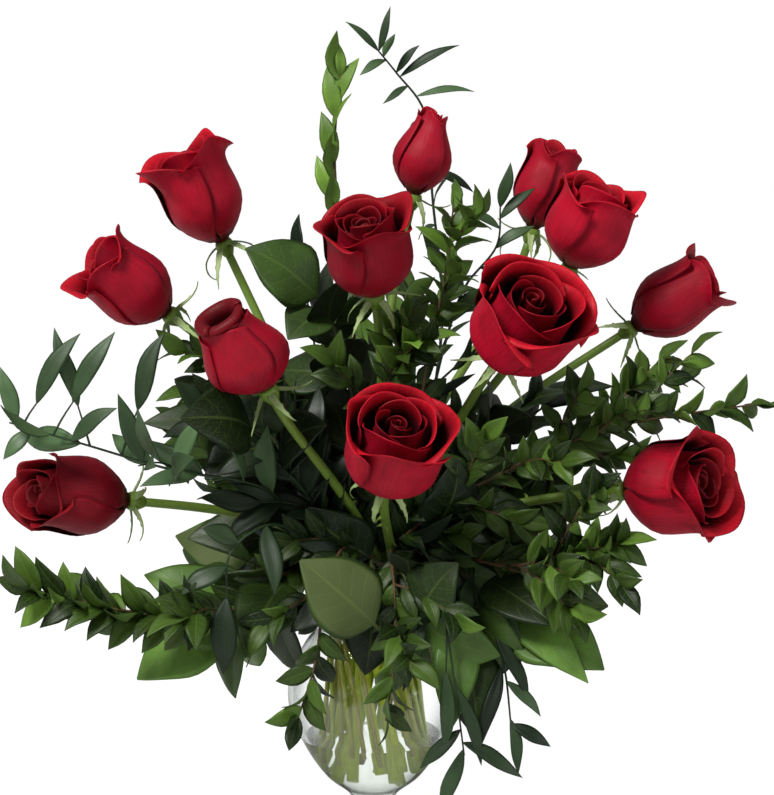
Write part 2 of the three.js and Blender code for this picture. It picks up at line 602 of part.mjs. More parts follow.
function leafSolid(kind, leaf) {
  const rows = kind.outline.map(([share, width]) => [share, width * leaf.halfWidth]);
  return blade({ ...leaf, rows, fold: kind.fold, droop: kind.droop, thick: kind.thick });
}

// A leaf that would touch something turns about the twig by one of ROLLS, or moves its tip to or fro
// by one of LIFTS, until it is clear, and is left out if it never is.
const ROLLS = [0, 0.5, -0.5, 1, -1, 1.6, -1.6, 2.3, -2.3];
const LIFTS = [0, -6, 6, -12, 12, -18, 18];

function clearLeaves(spray, line) {
  const kind = KINDS[spray.kind];
  const leaves = [];
  const addFirstClear = (choices, leafOf) => {
    for (const choice of choices) {
      const leaf = leafSolid(kind, leafOf(choice));
      if (isClear(leaf, spray.name)) {
        occupy(spray.name, leaf);
        leaves.push(leaf);
        return;
      }
    }
  };
  for (const tip of spray.tips ?? []) {
    addFirstClear(LIFTS, (lift) => chosenLeaf(line, tip, lift));
  }
  for (let index = 0; index < (spray.count ?? 0); index++) {
    addFirstClear(ROLLS, (roll) => ruledLeaf(spray, line, index, roll));
  }
  return leaves;
}

// ---------------------------------------------------------------------------------------------
// The arrangement
// ---------------------------------------------------------------------------------------------

const vase = turned([...VASE_OUTSIDE, ...VASE_INSIDE], VASE_SIDES);
occupy("vase", vase);
place("vase", vase, MATERIALS.glass);

for (const rose of ROSES) {
  const foot = stemFoot(rose.ring, rose.bearing);
  drillWater(foot, ROSE_STEM_RADIUS, ROSE_STEM_SIDES);
  const bloom = bloomSolid(rose);
  const stem = roseStemSolid(rose, foot);
  occupy("rose_bloom_" + rose.name, bloom);
  occupy("rose_stem_" + rose.name, stem);
  place("rose_bloom_" + rose.name, bloom, MATERIALS.petals);
  place("rose_stem_" + rose.name, stem, MATERIALS.roseStem);
}

const sprayStems = SPRAYS.map((spray) => {
  const foot = stemFoot(spray.ring, spray.bearing);
  drillWater(foot, KINDS[spray.kind].stem[0], TWIG_SIDES);
  const stem = sprayStem(spray, foot);
  if (!isClear(stem.solid, spray.name)) {
    throw new Error(spray.name + ": its stem meets another piece");
  }
  occupy(spray.name, stem.solid);
  return stem;
});

SPRAYS.forEach((spray, i) => {
  const { line, solid } = sprayStems[i];
  const leaves = clearLeaves(spray, line);
  place(spray.name, wasm.Manifold.union([solid, ...leaves]), MATERIALS[spray.kind]);
});

// The water follows the inside of the glass from its bottom up to the water's level.
const wetted = VASE_INSIDE.filter(([, height]) => height < WATER_LEVEL);
const waterOutline = wetted
  .map(([radius, height]) => [Math.max(0, radius - WATER_GAP), height + WATER_GAP])
  .reverse();
const [lastRadius, lastHeight] = waterOutline.at(-1);
const levelRadius = lastRadius + GLASS_SLOPE_AT_WATER * (WATER_LEVEL - lastHeight);
waterOutline.push([levelRadius, WATER_LEVEL], [0, WATER_LEVEL]);
const water = turned(waterOutline, VASE_SIDES).subtract(wasm.Manifold.union(stemHoles));
place("water", water, MATERIALS.water);

export default arrangement;
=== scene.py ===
"""A dozen red roses with greenery in a footed glass vase: the fine surfaces and finishes of the part.

Lengths are in millimetres in the tables and in the making of each shape, and a mesh is scaled to
metres when it becomes an object. The places repeat those of the solids, which each piece replaces.
"""

import math
from collections import namedtuple
from functools import lru_cache, partial
from operator import itemgetter
from types import SimpleNamespace

import bpy
import numpy as np
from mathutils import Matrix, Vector


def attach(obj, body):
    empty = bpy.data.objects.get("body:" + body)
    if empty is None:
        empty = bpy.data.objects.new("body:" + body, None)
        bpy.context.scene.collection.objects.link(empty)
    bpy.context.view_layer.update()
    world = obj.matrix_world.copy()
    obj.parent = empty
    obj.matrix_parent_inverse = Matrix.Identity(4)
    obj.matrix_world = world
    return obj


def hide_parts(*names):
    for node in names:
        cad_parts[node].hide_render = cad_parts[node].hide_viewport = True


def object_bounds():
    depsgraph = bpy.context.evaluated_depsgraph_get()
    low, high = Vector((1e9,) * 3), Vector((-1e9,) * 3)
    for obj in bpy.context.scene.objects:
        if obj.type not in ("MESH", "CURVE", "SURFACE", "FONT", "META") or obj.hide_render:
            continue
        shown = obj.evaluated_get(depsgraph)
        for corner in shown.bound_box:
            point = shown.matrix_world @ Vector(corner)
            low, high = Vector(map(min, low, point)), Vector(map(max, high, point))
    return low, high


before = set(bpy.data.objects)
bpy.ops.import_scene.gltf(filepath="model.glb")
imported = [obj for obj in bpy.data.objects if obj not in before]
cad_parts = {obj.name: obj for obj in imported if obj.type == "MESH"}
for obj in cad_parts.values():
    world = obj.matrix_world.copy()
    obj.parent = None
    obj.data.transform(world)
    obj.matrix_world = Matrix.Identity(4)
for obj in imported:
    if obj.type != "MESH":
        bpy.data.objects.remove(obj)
cad_low, cad_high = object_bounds()

MM = 0.001
BODY = "root"
FULL_TURN = 2 * math.pi

# --- Camera of the photograph ---

IMAGE_WIDTH, IMAGE_HEIGHT = 774, 795
MM_PER_PIXEL = 0.62
VASE_PIXEL_X = 373
MIDDLE_HEIGHT = 279
SENSOR_WIDTH = 36
CAMERA_DISTANCE = 1400
CAMERA_TILT = math.radians(6)
CAMERA_AIM = np.array([(IMAGE_WIDTH / 2 - VASE_PIXEL_X) * MM_PER_PIXEL, 0, MIDDLE_HEIGHT])
CAMERA_PLACE = CAMERA_AIM + CAMERA_DISTANCE * np.array([0, -math.cos(CAMERA_TILT), math.sin(CAMERA_TILT)])

# --- Small mathematics ---


def unit(v):
    return v / np.linalg.norm(v)


def smooth(x):
    return x * x * (3 - 2 * x)


def above(x, start):
    return np.maximum(0, (x - start) / (1 - start))


def mix(a, b, t):
    return a + (b - a) * t


def turned_about(v, axis, angle):
    """The vector v turned about a unit axis."""
    c, s = math.cos(angle), math.sin(angle)
    return v * c + np.cross(axis, v) * s + axis * (axis @ v) * (1 - c)


def catmull_rom(points, shares):
    """Points of the centripetal curve through the given points, at shares of its number of spans."""
    p = np.array([2 * points[0] - points[1], *points, 2 * points[-1] - points[-2]])
    found = []
    for share in shares:
        place = share * (len(points) - 1)
        span = min(int(place), len(points) - 2)
        t = place - span
        p0, p1, p2, p3 = p[span:span + 4]
        d0, d1, d2 = (np.linalg.norm(b - a) ** 0.5 for a, b in ((p0, p1), (p1, p2), (p2, p3)))
        m1 = ((p1 - p0) / d0 - (p2 - p0) / (d0 + d1) + (p2 - p1) / d1) * d1
        m2 = ((p2 - p1) / d1 - (p3 - p1) / (d1 + d2) + (p3 - p2) / d2) * d1
        square, cube = 3 * (p2 - p1) - 2 * m1 - m2, 2 * (p1 - p2) + m1 + m2
        found.append(p1 + m1 * t + square * t ** 2 + cube * t ** 3)
    return np.array(found)


# --- Meshes ---


ON_AXIS = 1e-6


class Shape:
    """Points and faces collected for one object. Each point has a mark of four numbers that the
    materials read: across and along the petal or leaf, which side it is on, and a tone of its own, which
    for petals and leaves also sets their painted shade."""

    def __init__(self):
        self.points, self.faces, self.marks, self.slots = [], [], [], []
        self.count = 0

    def add(self, points, faces, marks, slot=0):
        self.points.append(points)
        self.marks.append(marks)
        self.faces += [tuple(i + self.count for i in face) for face in faces]
        self.slots += [slot] * len(faces)
        self.count += len(points)

    def object(self, name, materials, replaced, slot):
        mesh = bpy.data.meshes.new(name)
        points = np.concatenate(self.points) * MM
        marks = np.concatenate(self.marks).astype(np.float32)
        mesh.from_pydata([tuple(p) for p in points], [], self.faces)
        place = mesh.attributes.new("place", "FLOAT_VECTOR", "POINT")
        place.data.foreach_set("vector", marks[:, :3].ravel())
        tone = mesh.attributes.new("tone", "FLOAT", "POINT")
        tone.data.foreach_set("value", marks[:, 3].copy())
        mesh.polygons.foreach_set("use_smooth", [True] * len(self.faces))
        mesh.polygons.foreach_set("material_index", self.slots)
        for material in materials:
            mesh.materials.append(material)
        mesh.update()
        made = bpy.data.objects.new(name, mesh)
        bpy.context.scene.collection.objects.link(made)
        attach(made, BODY)
        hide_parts(*replaced)
        return made


def quads(grid):
    """The faces between the points of a grid of indices."""
    corners = [grid[:-1, :-1], grid[:-1, 1:], grid[1:, 1:], grid[1:, :-1]]
    return np.stack(corners, axis=-1).reshape(-1, 4).tolist()


def ring_quads(rings):
    """The faces between closed rings of indices."""
    rings = np.array(rings)
    return quads(np.concatenate([rings, rings[:, :1]], axis=1))


@lru_cache
def blade_faces(rows, columns):
    """The faces of a closed blade: two grids that share their border."""
    top = np.arange(rows * columns).reshape(rows, columns)
    bottom = top.copy()
    inner = bottom[1:-1, 1:-1]
    inner[:] = rows * columns + np.arange(inner.size).reshape(inner.shape)
    return quads(top) + [face[::-1] for face in quads(bottom)]


def add_blade(shape, grid, across, along, thick, tone, slot=0, flip=False):
    """Adds a thin closed blade over a grid of points, thickest in its middle."""
    rows, columns = grid.shape[:2]
    normal = np.cross(np.gradient(grid, axis=1), np.gradient(grid, axis=0))
    normal /= np.linalg.norm(normal, axis=2, keepdims=True) + 1e-9
    inner = (slice(1, -1), slice(1, -1))
    half = np.zeros((rows, columns, 1))
    half[inner] = thick / 2
    top = grid + normal * half
    below = (grid - normal * half)[inner].reshape(-1, 3)
    side = np.zeros((rows, columns))
    side[inner] = -1 if flip else 1
    mark = np.stack([across, along, side, np.full_like(side, tone)], axis=2)
    under = mark[inner] * [1, 1, -1, 1]
    shape.add(
        np.concatenate([top.reshape(-1, 3), below]), blade_faces(rows, columns),
        np.concatenate([mark.reshape(-1, 4), under.reshape(-1, 4)]), slot,
    )


def add_rod(shape, points, radii, sides, tone, slot=0, start=0.0):
    """Adds a closed round rod along points. Its marks hold its angle and its share of the length, which
    runs from start to 1, as the stems are painted paler towards their cut ends: painted light where they
    stand in the vase."""
    points = np.asarray(points)
    count = len(points)
    tangents = np.gradient(points, axis=0)
    tangents /= np.linalg.norm(tangents, axis=1, keepdims=True)
    across = unit(np.cross([0, 0.1, 1], tangents[0]))
    angles = np.arange(sides) * FULL_TURN / sides
    rings = []
    for point, tangent, radius in zip(points, tangents, radii):
        across = unit(across - tangent * (across @ tangent))
        up = np.cross(tangent, across)
        rings.append(point + radius * (np.outer(np.cos(angles), across) + np.outer(np.sin(angles), up)))
    indices = np.arange(count * sides).reshape(count, sides)
    faces = ring_quads(indices) + [indices[0, ::-1].tolist(), indices[-1].tolist()]
    share = np.repeat(np.linspace(start, 1, count), sides)
    side, tones = np.zeros(count * sides), np.full(count * sides, tone)
    marks = np.stack([np.tile(np.cos(angles), count), share, side, tones], 1)
    shape.add(np.concatenate(rings), faces, marks, slot)


def add_turned(shape, outline, sides, place=None, tone=0.5, along=None):
    """Adds a solid of revolution about +Z from (radius, height) points that run up its outside."""
    outline = np.asarray(outline, float)
    angles = np.arange(sides) * FULL_TURN / sides
    points, rings = [], []
    for radius, height in outline:
        if radius < ON_AXIS:
            rings.append([len(points)] * sides)
            points.append((0, 0, height))
        else:
            rings.append(list(range(len(points), len(points) + sides)))
            points += [(radius * math.cos(a), radius * math.sin(a), height) for a in angles]
    faces = [tuple(dict.fromkeys(face)) for face in ring_quads(rings)]
    faces = [face for face in faces if len(face) > 2]
    points = np.array(points, float)
    marks = np.zeros((len(points), 4))
    marks[:, 1] = points[:, 2] / max(1e-6, outline[:, 1].max()) if along is None else along
    marks[:, 3] = tone
    shape.add(points if place is None else place(points), faces, marks)


# --- Materials ---


class Nodes:
    """Short ways to add the nodes of one material."""

    def __init__(self, name):
        self.material = bpy.data.materials.new(name)
        self.material.use_nodes = True
        self.tree = self.material.node_tree
        self.shader = self.tree.nodes["Principled BSDF"]

    def node(self, kind, inputs=(), **settings):
        """Adds a node with its settings, and feeds its inputs, given by their order or by name."""
        made = self.tree.nodes.new(kind)
        for key, value in settings.items():
            setattr(made, key, value)
        self.feed_all(made, inputs)
        return made

    def feed(self, socket, value):
        if isinstance(value, bpy.types.NodeSocket):
            self.tree.links.new(value, socket)
        else:
            socket.default_value = value

    def feed_all(self, node, inputs):
        for key, value in inputs.items() if isinstance(inputs, dict) else enumerate(inputs):
            self.feed(node.inputs[key], value)

    def math(self, operation, *values):
        return self.node("ShaderNodeMath", values, operation=operation).outputs[0]

    def times(self, a, b):
        return self.math("MULTIPLY", a, b)

    def mix(self, share, a, b):
        made = self.node("ShaderNodeMix", {"Factor": share}, data_type="RGBA")
        self.feed_all(made, {"A": a, "B": b})
        return made.outputs["Result"]

    def range(self, value, low, high, to_low=0.0, to_high=1.0, smoothly=True):
        kind = "SMOOTHSTEP" if smoothly else "LINEAR"
        numbers = (value, low, high, to_low, to_high)
        return self.node("ShaderNodeMapRange", numbers, interpolation_type=kind).outputs[0]

    def noise(self, vector, scale, detail=3.0, distortion=0.0):
        inputs = {"Vector": vector, "Scale": scale, "Detail": detail, "Distortion": distortion}
        return self.node("ShaderNodeTexNoise", inputs).outputs["Fac"]

    def vector(self, x, y, z):
        return self.node("ShaderNodeCombineXYZ", (x, y, z)).outputs[0]

    def marks(self):
        """Across, along and side, as the mesh's points are marked, with the piece's own tone, which also
        carries painted shade.
        """
        place = self.node("ShaderNodeAttribute", attribute_name="place").outputs["Vector"]
        tone = self.node("ShaderNodeAttribute", attribute_name="tone").outputs["Fac"]
        parts = self.node("ShaderNodeSeparateXYZ", [place]).outputs
        return parts["X"], parts["Y"], parts["Z"], tone

    def object_place(self):
        return self.node("ShaderNodeTexCoord").outputs["Object"]

    def bump(self, height, strength, distance):
        made = self.node("ShaderNodeBump", {"Strength": strength, "Distance": distance, "Height": height})
        self.feed(self.shader.inputs["Normal"], made.outputs[0])

    def finish(self, colour, roughness, **settings):
        self.feed_all(self.shader, {"Base Color": colour, "Roughness": roughness})
        for name, value in settings.items():
            self.shader.inputs[name.replace("_", " ").title().replace("Ior", "IOR")].default_value = value
        return self.material


def rgb(red, green, blue):
    return (red, green, blue, 1.0)


def petal_material(name, light, heart):
    """Velvety crimson, rosier outside. Painted shade darkens it to a very dark red low in the bloom and
    on its inner petals, and painted light brightens the rims. The tone is the petal's place in the bloom,
    from 0 in the heart to 1 outside."""
    n = Nodes(name)
    across, along, side, tone = n.marks()
    own = n.noise(n.vector(n.times(tone, 37.0), 0.0, 0.0), 1.0, 0.0)
    grain = n.vector(n.times(across, 14.0), n.times(along, 1.6), n.times(own, 9.0))
    veins = n.noise(grain, 2.2, 4.0, 0.4)
    clouds = n.noise(n.object_place(), 55.0, 2.0)
    # The light and heart factors brighten or darken this rose's colours, as painted light and shade.
    painted_shade_colour, deep = rgb(0.010, 0.0001, 0.0005), rgb(0.086 * heart, 0.0006 * heart, 0.0032 * heart)
    painted_light_colour = rgb(0.54 * light, 0.0050 * light, 0.0180 * light)
    rosy = rgb(0.40 * light, 0.0036 * light, 0.0205 * light)
    outside = n.range(tone, 0.35, 0.9)
    # Painted shade: the inner faces darken to a very dark red towards their foot, low in the bloom.
    inner = n.mix(n.range(along, 0.50, 0.92), painted_shade_colour, deep)
    # Painted light: the inner faces brighten towards the rim, the more on the outer petals.
    lit = n.times(n.range(along, 0.74, 1.0), n.range(outside, 0.0, 1.0, 0.20, 1.0, False))
    inner = n.mix(lit, inner, painted_light_colour)
    outer = n.mix(n.range(along, 0.0, 0.2, 0.45, 1.0), deep, rosy)
    # Painted shade: the outer faces of the inner petals darken to the darker red.
    outer = n.mix(n.range(outside, 0.0, 1.0, 0.85, 0.0, False), outer, deep)
    colour = n.mix(n.range(side, -0.6, 0.6), inner, outer)
    colour = n.mix(n.range(clouds, 0.42, 0.75, 0.0, 0.35), colour, deep)
    colour = n.mix(n.range(veins, 0.45, 0.7, 0.0, 0.30), colour, deep)
    # A painted highlight along the rim and side edges of every petal.
    rim = n.math("MAXIMUM", n.range(n.math("ABSOLUTE", across), 0.94, 1.0), n.range(along, 0.95, 1.0))
    colour = n.mix(n.times(rim, 0.14), colour, painted_light_colour)
    n.bump(n.math("ADD", veins, n.times(n.noise(n.object_place(), 900.0, 2.0), 0.3)), 0.35, 0.0007)
    return n.finish(
        colour, n.range(clouds, 0.3, 0.7, 0.44, 0.60), specular_ior_level=0.16,
        sheen_weight=0.08, sheen_roughness=0.35, sheen_tint=rgb(1.0, 0.10, 0.22),
        subsurface_weight=0.08, subsurface_radius=(1.0, 0.08, 0.06), subsurface_scale=0.004,
    )


def leaf_material(name, dark, light, under, rib, roughness, veins, vein_slope, gloss, contrast, relief):
    """A leaf's skin: a pale rib, side veins that lean towards the tip, and a paler underside."""
    n = Nodes(name)
    across, along, side, tone = n.marks()
    width = n.math("ABSOLUTE", across)
    run = n.math("SUBTRACT", n.times(along, veins), n.times(width, vein_slope))
    wobble = n.noise(n.vector(across, along, tone), 5.0, 2.0)
    wave = n.math("SINE", n.times(n.math("ADD", run, n.times(wobble, 0.5)), FULL_TURN))
    side_veins = n.times(n.range(wave, 0.86, 1.0), n.range(width, 0.9, 0.6))
    rib_line = n.range(width, 0.07, 0.02)
    net = n.noise(n.vector(n.times(across, 5.0), n.times(along, 12.0), tone), 6.0, 3.0)
    patches = n.noise(n.object_place(), 45.0, 3.0)
    # The tone carries painted shade: leaves are darker in the heart of the arrangement.
    colour = n.mix(n.math("POWER", tone, 1.5), dark, light)
    colour = n.mix(n.range(patches, 0.35, 0.7, 0.0, 0.4), colour, dark)
    colour = n.mix(n.range(net, 0.5, 0.75, 0.0, 0.25), colour, light)
    below = n.range(side, -0.3, -0.7)
    colour = n.mix(below, colour, n.mix(n.range(tone, 0.0, 0.6, 0.85, 0.0), under, dark))
    lines = n.math("MAXIMUM", n.times(side_veins, 0.4), rib_line)
    colour = n.mix(n.times(lines, contrast), colour, rib)
    height = n.math("SUBTRACT", n.times(net, 0.25), lines)
    n.bump(height, relief, 0.0007)
    rough = n.range(patches, 0.3, 0.7, roughness - 0.05, roughness + 0.08)
    return n.finish(colour, n.math("ADD", rough, n.times(below, 0.22)), specular_ior_level=gloss)


def skin_material(name, low, high, speck, roughness, streaks):
    """A stem's skin: its colour runs from the cut end, painted paler in the vase as painted light, to the
    top, with lengthwise streaks and pores.
    """
    n = Nodes(name)
    across, along, _, tone = n.marks()
    grain = n.noise(n.vector(n.times(across, 3.0), n.times(along, streaks), tone), 6.0, 4.0)
    pores = n.noise(n.object_place(), 700.0, 2.0)
    # Painted light: paler low down, where the stem stands in the vase.
    colour = n.mix(n.range(along, 0.14, 0.36), low, high)
    colour = n.mix(n.range(grain, 0.45, 0.75, 0.0, 0.5), colour, speck)
    colour = n.mix(n.range(pores, 0.62, 0.75, 0.0, 0.4), colour, speck)
    n.bump(n.math("ADD", grain, n.times(pores, 0.4)), 0.3, 0.0005)
    return n.finish(colour, roughness, specular_ior_level=0.4)


def glass_material():
    """Clear glass with the faint waviness of a pressed vase, and painted grey shade where it is seen
    along its wall.
    """
    n = Nodes("vase_glass")
    n.bump(n.noise(n.object_place(), 18.0, 1.0), 0.05, 0.002)
    edge = n.node("ShaderNodeLayerWeight", {"Blend": 0.5})
    painted_edge_shade = n.range(edge.outputs["Facing"], 0.25, 0.80)
    # Painted shade: grey at grazing angles, along the glass's silhouette.
    tint = n.mix(painted_edge_shade, rgb(0.985, 0.995, 0.99), rgb(0.24, 0.27, 0.25))
    return n.finish(tint, 0.012, transmission_weight=1.0, ior=1.46, specular_ior_level=0.5)


def water_material():
    """Clear water, very slightly green from the stems."""
    n = Nodes("vase_water")
    n.bump(n.noise(n.object_place(), 30.0, 1.0), 0.03, 0.001)
    return n.finish(rgb(0.95, 0.99, 0.93), 0.0, transmission_weight=1.0, ior=1.33)


MATERIALS = {
    "rose_stem": skin_material(
        "rose_stem_skin", rgb(0.54, 0.66, 0.035), rgb(0.15, 0.25, 0.030), rgb(0.10, 0.15, 0.020), 0.42,
        14.0),
    "sepal": leaf_material(
        "sepal_skin", rgb(0.10, 0.19, 0.03), rgb(0.27, 0.39, 0.10), rgb(0.38, 0.48, 0.22),
        rgb(0.34, 0.44, 0.17), 0.5, 5.0, 1.0, 0.25, 0.3, 0.2),
    "salal": leaf_material(
        "salal_leaf", rgb(0.003, 0.009, 0.002), rgb(0.135, 0.270, 0.045), rgb(0.080, 0.114, 0.031),
        rgb(0.15, 0.23, 0.05), 0.42, 7.0, 1.6, 0.27, 0.20, 0.3),
    "ruscus": leaf_material(
        "ruscus_leaf", rgb(0.003, 0.010, 0.003), rgb(0.085, 0.160, 0.064), rgb(0.06, 0.11, 0.04),
        rgb(0.05, 0.10, 0.04), 0.44, 3.0, 0.3, 0.26, 0.12, 0.1),
    "huckleberry": leaf_material(
        "huckleberry_leaf", rgb(0.003, 0.011, 0.002), rgb(0.170, 0.320, 0.040), rgb(0.10, 0.19, 0.03),
        rgb(0.13, 0.22, 0.03), 0.40, 6.0, 1.2, 0.24, 0.30, 0.25),
    "salal_twig": skin_material(
        "salal_twig", rgb(0.38, 0.42, 0.06), rgb(0.05, 0.07, 0.02), rgb(0.08, 0.045, 0.02), 0.5, 20.0),
    "ruscus_twig": skin_material(
        "ruscus_twig", rgb(0.36, 0.46, 0.05), rgb(0.012, 0.030, 0.010), rgb(0.02, 0.04, 0.01), 0.4, 20.0),
    "huckleberry_twig": skin_material(
        "huckleberry_twig", rgb(0.36, 0.36, 0.07), rgb(0.09, 0.05, 0.02), rgb(0.04, 0.018, 0.008), 0.55,
        20.0),
    "glass": glass_material(),
    "water": water_material(),
}

# --- Stems in the vase ---

# The stems stand in rings in the vase's neck. A ring has its radius there, how far its stems lean out,
# and the height at which they are cut.
NECK_HEIGHT = 140
RINGS = {
    "heart": (7, 0.16, 44),
    "roses": (15.2, 0.23, 50),
    "leaves": (21.8, 0.25, 55),
    "rim": (26.6, 0.27, 61),
}


def stem_foot(ring_name, bearing):
    """The cut end of a stem, its place in the neck, and its direction there."""
    radius, lean, cut_height = RINGS[ring_name]
    angle = math.radians(bearing)
    outward = np.array([math.cos(angle), math.sin(angle), 0])
    neck = radius * np.array([-outward[1], outward[0], 0]) + [0, 0, NECK_HEIGHT]
    direction = lean * outward + [0, 0, 1]
    return neck + direction * (cut_height - NECK_HEIGHT), neck, unit(direction)


# --- Roses ---

ROSE_STEM_RADIUS = 3.2
HIP_LENGTH = 10
HIP_OUTLINE = [
    (0, -10.5), (3.2, -10.5), (3.9, -9), (5.0, -7), (6.0, -4.6),
    (6.1, -3), (5.6, -1.4), (5.2, -0.3), (0, -0.3),
]
SEPALS, SEPAL_LENGTH = 5, 25
THORNS, THORN_STEPS = 5, (16, 40)
PETAL_THICKNESS, SEPAL_THICKNESS = 0.5, 0.6
ROUND_SIDES = 20

# The usual options of a rose: factors of painted light and shade on its petals and on its deep parts; how
# far out and up the point of each outermost petal reaches; factors on its flares, rolls, points, drops,
# height and mouth; how flat the corners of its rims lie; how deep its heart is sunk; the layers that it
# lacks; how far the bloom and its heart lean; how far and which way its face tilts; values for a whole
# layer or an outermost petal.
ROSE_OPTIONS = dict(
    light=1, heart_painted_light=1, petals={}, flare=1, roll=1, point=1, drop=1, tall=1, mouth_share=1,
    flat=0.65, sunk=None, skip=(), lean=(0, 0), heart=(0, 0), tilt=(0, 0), layers={}, outer={},
)


class Rose(SimpleNamespace):
    """A rose: where its bloom starts and ends, its radius, how open it is and how it is turned, the
    ring and bearing of its stem in the vase, and its options."""

    def __init__(self, name, base, mouth, radius, open, turn, ring, bearing, **options):
        super().__init__(
            name=name, base=np.array(base, float), mouth=np.array(mouth, float), radius=radius,
            open=open, turn=turn, ring=ring, bearing=bearing, **{**ROSE_OPTIONS, **options},
        )
        if self.sunk is None:
            self.sunk = 0.06 + 0.06 * open
        self.height = np.linalg.norm(self.mouth - self.base)
        self.axis = (self.mouth - self.base) / self.height
        across = unit(np.cross([0, 0, 1], self.axis))
        self.basis = np.array([across, np.cross(self.axis, across), self.axis])

    def place(self, points):
        """Puts the bloom's own points in place."""
        return points @ self.basis + self.base


ROSES = [
    Rose("upper_left", (-97, 60, 374), (-125, 45, 437), 25, 0.55, 0.3, "roses", 136, light=1.08,
        petals={3: (12, 4), 0: (-3, 5), 1: (2, 5)}),
    Rose("left", (-128, 10, 331), (-176, -10, 370), 24, 0.4, 1.1, "roses", 166, light=0.9,
        heart_painted_light=0.9, petals={2: (4, 2), 0: (-2, 1)}),
    Rose("left_bud", (-61, -95, 295), (-85, -115, 342), 25.5, 0.08, 2.0, "roses", 232, light=0.74,
        heart_painted_light=0.8, flare=0.1, flat=0.0, point=0, drop=0.3, sunk=0.1, skip=(2,), tall=1.14,
        lean=(-4, -2),
        layers={
            0: dict(height=0.62, shut=0.8),
            1: dict(radius=0.35, height=1.03, half=2.1, lap=0.05, shut=0.9, roll=9, curl=2.6, drop=0),
            4: dict(height=0.82, shut=0.62, lap=0.04, roll=0.3, drop=0.04),
            5: dict(height=0.76, shut=0.56, lap=0.04, roll=0.2, drop=0.1, half=1.35),
        }),
    Rose("centre", (1, -50, 347), (-6, -80, 399), 26, 0.5, 0.6, "heart", 262, light=0.64,
        heart_painted_light=0.75, petals={2: (4, 0), 0: (3, 3)}, flare=0.8),
    Rose("top_bud", (26, 65, 404), (39, 60, 460), 19.5, 0, 1.7, "heart", 75, light=0.9,
        petals={1: (-3, 4)}, mouth_share=0.66, flare=0.3, point=0.5, drop=0.5),
    Rose("back_bud", (105, 105, 381), (122, 100, 440), 20, 0.15, 0.9, "roses", 40, light=0.95,
        petals={1: (-1, 3), 3: (0, 2)}, flare=0.6),
    Rose("upper_right", (125, 40, 359), (145, 22, 414), 27, 0.45, 2.6, "heart", 8, light=1.22,
        petals={2: (2, 4), 0: (-2, 2)}, flare=0.8),
    Rose("open_right", (76, -66, 311), (100, -110, 352), 31, 0.95, 0.2, "roses", 300, light=1.15,
        heart_painted_light=0.65, petals={2: (0, 1), 3: (-1, 2)}, flare=0.06, flat=0.0, sunk=0.14, skip=(2,),
        heart=(4, 9), tilt=(0.12, 1.4),
        outer={1: dict(twist=-0.42, half=0.95, flat=0.7), 2: dict(height=0.84, half=1.05)}),
    Rose("right", (169, 70, 318), (224, 60, 356), 23, 0.3, 1.4, "roses", 8, light=0.85, heart_painted_light=0.9,
        petals={2: (1, 2)}, flare=0.9, roll=1.3),
    Rose("front", (9, -92, 240), (17, -136, 285), 29, 0.8, 2.9, "roses", 266, heart_painted_light=0.45,
        petals={2: (3, 1)}, flare=0.1, flat=0.4, sunk=0.14, skip=(2,), heart=(2, 8), tilt=(0.12, 1.6)),
    Rose("far_left", (-147, -50, 222), (-211, -74, 232), 24, 0.3, 0.5, "roses", 201, light=0.5,
        heart_painted_light=0.6, petals={3: (4, 2)}, flare=0.7, tilt=(0.5, 0.1), sunk=0.0, heart=(3, 0)),
    Rose("lower_right", (152, -50, 228), (208, -84, 238), 28, 0.7, 2.2, "roses", 336, heart_painted_light=0.45,
        petals={0: (2, 1)}, flare=0.8, tilt=(0.2, 2.9)),
]

# Layers of petals from the heart out. Each row holds shares of the bloom's radius and height, the
# number of petals, their half angle, the layer's twist, how far one side of a petal stands proud of the
# other, the mouth's share in a shut and in a wide bloom, how far a rim flares, rolls and curls back, how
# much of its middle stays up, how far its corners drop, and how open the bloom is when the layer shows.
# How flat the corners lie comes from the rose.
Layer = namedtuple(
    "Layer", "radius height count half twist lap shut wide flare roll curl point drop opens flat",
    defaults=[0],
)
PETAL_LAYERS = [
    Layer(0.12, 0.84, 1, 2.90, 0.0, 0.45, 0.55, 0.80, 0.0, 0.3, 1.2, 0.0, 0.03, 0.0),
    Layer(0.25, 0.87, 2, 1.95, 1.1, 0.28, 0.50, 0.80, 0.0, 0.5, 1.4, 0.0, 0.05, 0.0),
    Layer(0.40, 0.90, 2, 1.80, 2.5, 0.20, 0.45, 0.80, 0.4, 0.7, 1.6, 0.0, 0.07, 0.0),
    Layer(0.56, 0.93, 3, 1.40, 0.3, 0.15, 0.44, 0.86, 1.0, 1.1, 2.0, 0.2, 0.10, 0.2),
    Layer(0.77, 0.98, 3, 1.25, 1.3, 0.12, 0.50, 0.97, 2.4, 2.0, 2.4, 0.4, 0.15, 0.0),
    Layer(0.96, 0.94, 4, 1.16, 0.0, 0.11, 0.60, 1.10, 0.0, 3.2, 2.6, 0.55, 0.15, 0.0),
]
OUTER_FLARES = [11, 4, 8, 3]
CORE_SHARES = [(0.4, 0.08), (0.6, 0.2), (0.3, 0.5), (0, 0.6)]
PETAL_COLUMNS = 19
PETAL_STEPS = np.concatenate([np.linspace(0.04, 0.64, 8), np.linspace(0.68, 1.0, 14)])


